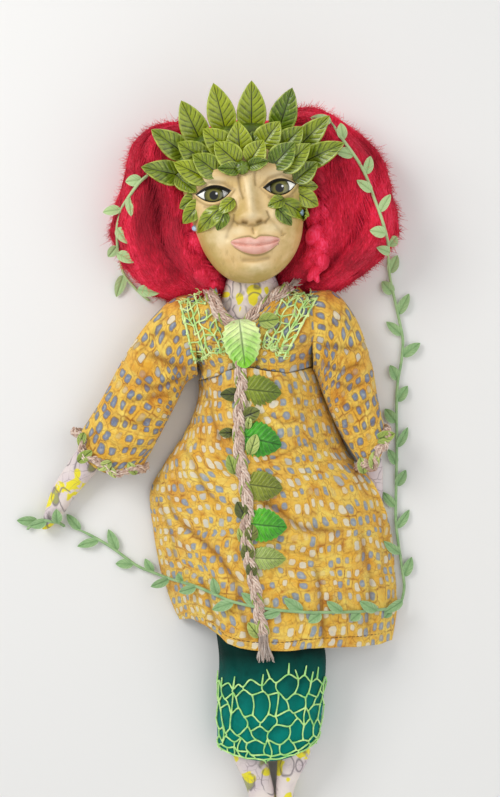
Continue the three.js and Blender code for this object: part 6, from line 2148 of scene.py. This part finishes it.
darkSpray = leafFinish("darkSpray", (74, 84, 20), (124, 132, 48), (34, 38, 8), (150, 156, 84), 0.4)
lightSpray = leafFinish("lightSpray", (146, 166, 66), (194, 206, 118), (84, 104, 34), (214, 222, 150), 0.55)
braidLeaves = [
    makeSprays("braidLeavesDark", sprays["dark"], darkSpray, "torso", "front_braid", ride=False),
    makeSprays("braidLeavesLight", sprays["light"], lightSpray, "torso", "front_braid", ride=False),
]

cuffSprays = {
    "right": [(0.16, 35, 15), (0.26, 205, 13), (0.4, 120, 12), (0.08, 250, 12), (0.31, 300, 10)],
    "left": [(0.12, 15, 17), (0.3, 85, 15), (0.42, 100, 14)],
}
for side, rows in cuffSprays.items():
    placed = []
    ring = cuffs[side]
    for share, turn, long in rows:
        spot = ring[int(share * (len(ring) - 1))]
        placed.append((spot.x, spot.y, turn, long, long * 0.3))
    tops = {(round(x, 3), round(y, 3)): ring[int(share * (len(ring) - 1))].z
            for (x, y, *_), (share, _, _) in zip(placed, rows)}
    makeSprays("cuffLeaves" + side.capitalize(), placed, lightSpray, "arm_" + side, "cuff_twine_" + side,
               height=lambda x, y, missing: tops[round(x, 3), round(y, 3)], lift=1.6)
print("satin and small leaves sewn")

# Leaf vines: velvet stems with leaves on alternate sides
vine = {"stem": 1.25, "gap": 18.5, "first": 0.4, "leaf": 17, "half": 4.2, "lift": 3.0, "steps": 7, "young": (90, 230)}
vineRoutes = {
    "long": [
        (74, 293), (83, 275), (96, 255), (104, 238), (109, 221), (114, 203), (119, 188), (121, 166), (124, 148),
        (127, 130), (129, 115), (127, 98), (123, 80), (121, 59), (120, 33), (118, 1), (116, -32), (117, -51),
        (119, -71), (120, -90), (114, -103), (99, -103), (73, -101), (32, -97), (2, -92), (-24, -85), (-48, -75),
        (-62, -72), (-77, -69), (-88, -65), (-100, -59), (-120, -43), (-141, -30), (-149, -27),
    ],
    "short": [(-70, 254), (-78, 247), (-88, 236), (-95, 228), (-99, 213), (-100, 195), (-98, 181), (-92, 172),
              (-84, 163), (-77, 157)],
    "sprig": [(-156, -25), (-164, -20), (-174, -18), (-183, -22), (-188, -26)],
}


def velvetFinish():
    finish = Finish("velvetLeaf", 0.85, Sheen_Weight=0.4, Sheen_Roughness=0.4)
    cloth = finish.cloth()
    age = finish.mark("tone")
    cloud = finish.noise(cloth, 160, 3)
    tint = finish.mixed(cloud.rise(0.3, 0.7), colour(118, 160, 104), colour(158, 192, 134))
    tint = finish.mixed(age, tint, colour(178, 204, 142))
    tint = finish.mixed(finish.mark("vein") * 0.4, tint, colour(92, 128, 78))
    # Painted highlight along the edges and beside the veins
    tint = finish.mixed(finish.mark("pale") * 0.35, tint, colour(206, 224, 180))
    finish.paint(tint)
    finish.relief(finish.noise(cloth, 1800, 2), 0.25, 0.5)
    return finish


velvetLeaf = velvetFinish()


# Leaves point back along the stem over the first share "back" of it
def makeVine(name, route, height, body, node, ride=True, seed=1, back=0):
    path = laid(route, height, vine["lift"], 0, len(route) * vine["steps"], 3)
    pick = random.Random(seed)

    def youth(y):
        return smooth(*vine["young"], y)

    bm = bmesh.new()
    marks = {
        "vein": lambda u, v: 0.0, "pale": lambda u, v: 0.2,
        "tone": lambda u, v: youth(path[round(v * (len(path) - 1))].y),
    }
    tube(bm, path, rounded(vine["stem"], 0.02), 8, marks=marks)
    lengths = measured(path)
    where, turn = vine["gap"] * vine["first"], 1
    placed = frames(path)
    while where < lengths[-1] - 2:
        index = min(range(len(lengths)), key=lambda i: abs(lengths[i] - where))
        point, side, _ = placed[index]
        along = (path[min(index + 1, len(path) - 1)] - path[max(index - 1, 0)]).normalized()
        if where < lengths[-1] * back:
            along = -along
        way = (along * pick.uniform(0.8, 1.3) + side * turn * pick.uniform(0.55, 0.95)).normalized()
        long = vine["leaf"] * pick.uniform(0.8, 1.15)
        base = point + way * 0.8
        tip = base + way * long
        crest = max(height(*base.lerp(tip, s).xy, 0) for s in (0.25, 0.5, 0.75))
        base.z = max(base.z, crest + 0.8)
        tip.z = max(height(tip.x, tip.y, 0) + 1.4, base.z - 4, crest) + pick.uniform(0, 1.5)
        addLeaf(bm, base, tip, vine["half"] * pick.uniform(0.85, 1.15), columns=12, rows=16, taper=0.8, veinCount=5,
                arch=1.1, cup=0.7, vein=0.2, roll=pick.uniform(-0.25, 0.25), tone=youth(point.y))
        where += vine["gap"] * pick.uniform(0.85, 1.1)
        turn = -turn
    return makePiece(bm, name, body, velvetLeaf, [node], ride=ride)


underVine = heightOn(tunicSkirt, *sleeves.values(), *hairLocks)
vineLong = makeVine("vineLong", vineRoutes["long"], underVine, "torso", "vine_long", ride=False, back=0.56)
makeVine("vineShort", vineRoutes["short"], underVine, "torso", "vine_short", seed=2)
makeVine("vineSprig", vineRoutes["sprig"], heightOn(arms["right"]), "arm_right", "vine_sprig", seed=3)
print("vines laid")

# Hidden supports: a dowel through the neck and the felt core of the head
support = {"dowelRadius": 4.9, "coreFill": 1.0}


def makeSupports():
    low, high = boxOf("neck_dowel")
    middle = (low + high) / 2
    bm = bmesh.new()
    path = [Vector((middle.x, blend(low.y, high.y, i / 40), middle.z)) for i in range(41)]
    tube(bm, path, rounded(support["dowelRadius"], 0.02), 32)
    wood = Finish("dowelWood", 0.55)
    place = wood.spot()
    grain = wood.noise(wood.scaled(place, 900, 60, 900), 1, 3)
    wood.paint(wood.mixed(grain.rise(0.35, 0.65), colour(186, 144, 96), colour(222, 186, 138)))
    wood.relief(grain, 0.2, 0.4)
    makePiece(bm, "neckDowel", "torso", wood, ["neck_dowel"])
    low, high = boxOf("head_core")
    middle, half = (low + high) / 2, (high - low) / 2
    bm = bmesh.new()
    bmesh.ops.create_uvsphere(bm, u_segments=64, v_segments=40, radius=1)
    for vert in bm.verts:
        lump = 1 - 0.03 * (0.5 + 0.5 * noise.noise(vert.co * 4))
        vert.co = middle + Vector(a * b for a, b in zip(vert.co, half)) * lump
    felt = Finish("feltCore", 0.95, Sheen_Weight=0.3)
    place = felt.spot()
    fibre = felt.noise(place, 700, 4)
    felt.paint(felt.mixed(fibre.rise(0.3, 0.7), colour(206, 196, 178), colour(236, 228, 212)))
    felt.relief(fibre, 0.5, 0.6)
    core = makePiece(bm, "feltCore", "torso", felt, ["head_core"])


makeSupports()

# Soft pieces that cross the hips or the shoulders
for piece in [tunicSkirt, hemStitches, vineLong, satinLeaves[4], *frontBraid, *braidLeaves]:
    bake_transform(piece)
for piece, side, start, end in zip(collars, sides, (-0.039, 0.052), (-0.047, 0.06)):
    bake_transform(piece)

# Cloth, with an estimate of the flat size of each piece
for piece, flat, held, rests in [
    (tunicSkirt, (0.4, 0.22), "gathered", ["underskirtTube"]),
    (tunicBodice, (0.25, 0.075), "stretched", ["torsoStuffed"]),
    (sleeves["right"], (0.15, 0.14), "draped", ["armRight"]),
    (sleeves["left"], (0.14, 0.125), "draped", ["armLeft"]),
    (underskirt, (0.24, 0.135), "draped", ["legRight", "legLeft"]),
    (netOverlay, (0.13, 0.072), "draped", ["underskirtTube"]),
    (collars[0], (0.034, 0.052), "laid", ["tunicBodice"]),
    (collars[1], (0.034, 0.052), "laid", ["tunicBodice"]),
]:
    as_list(rests)
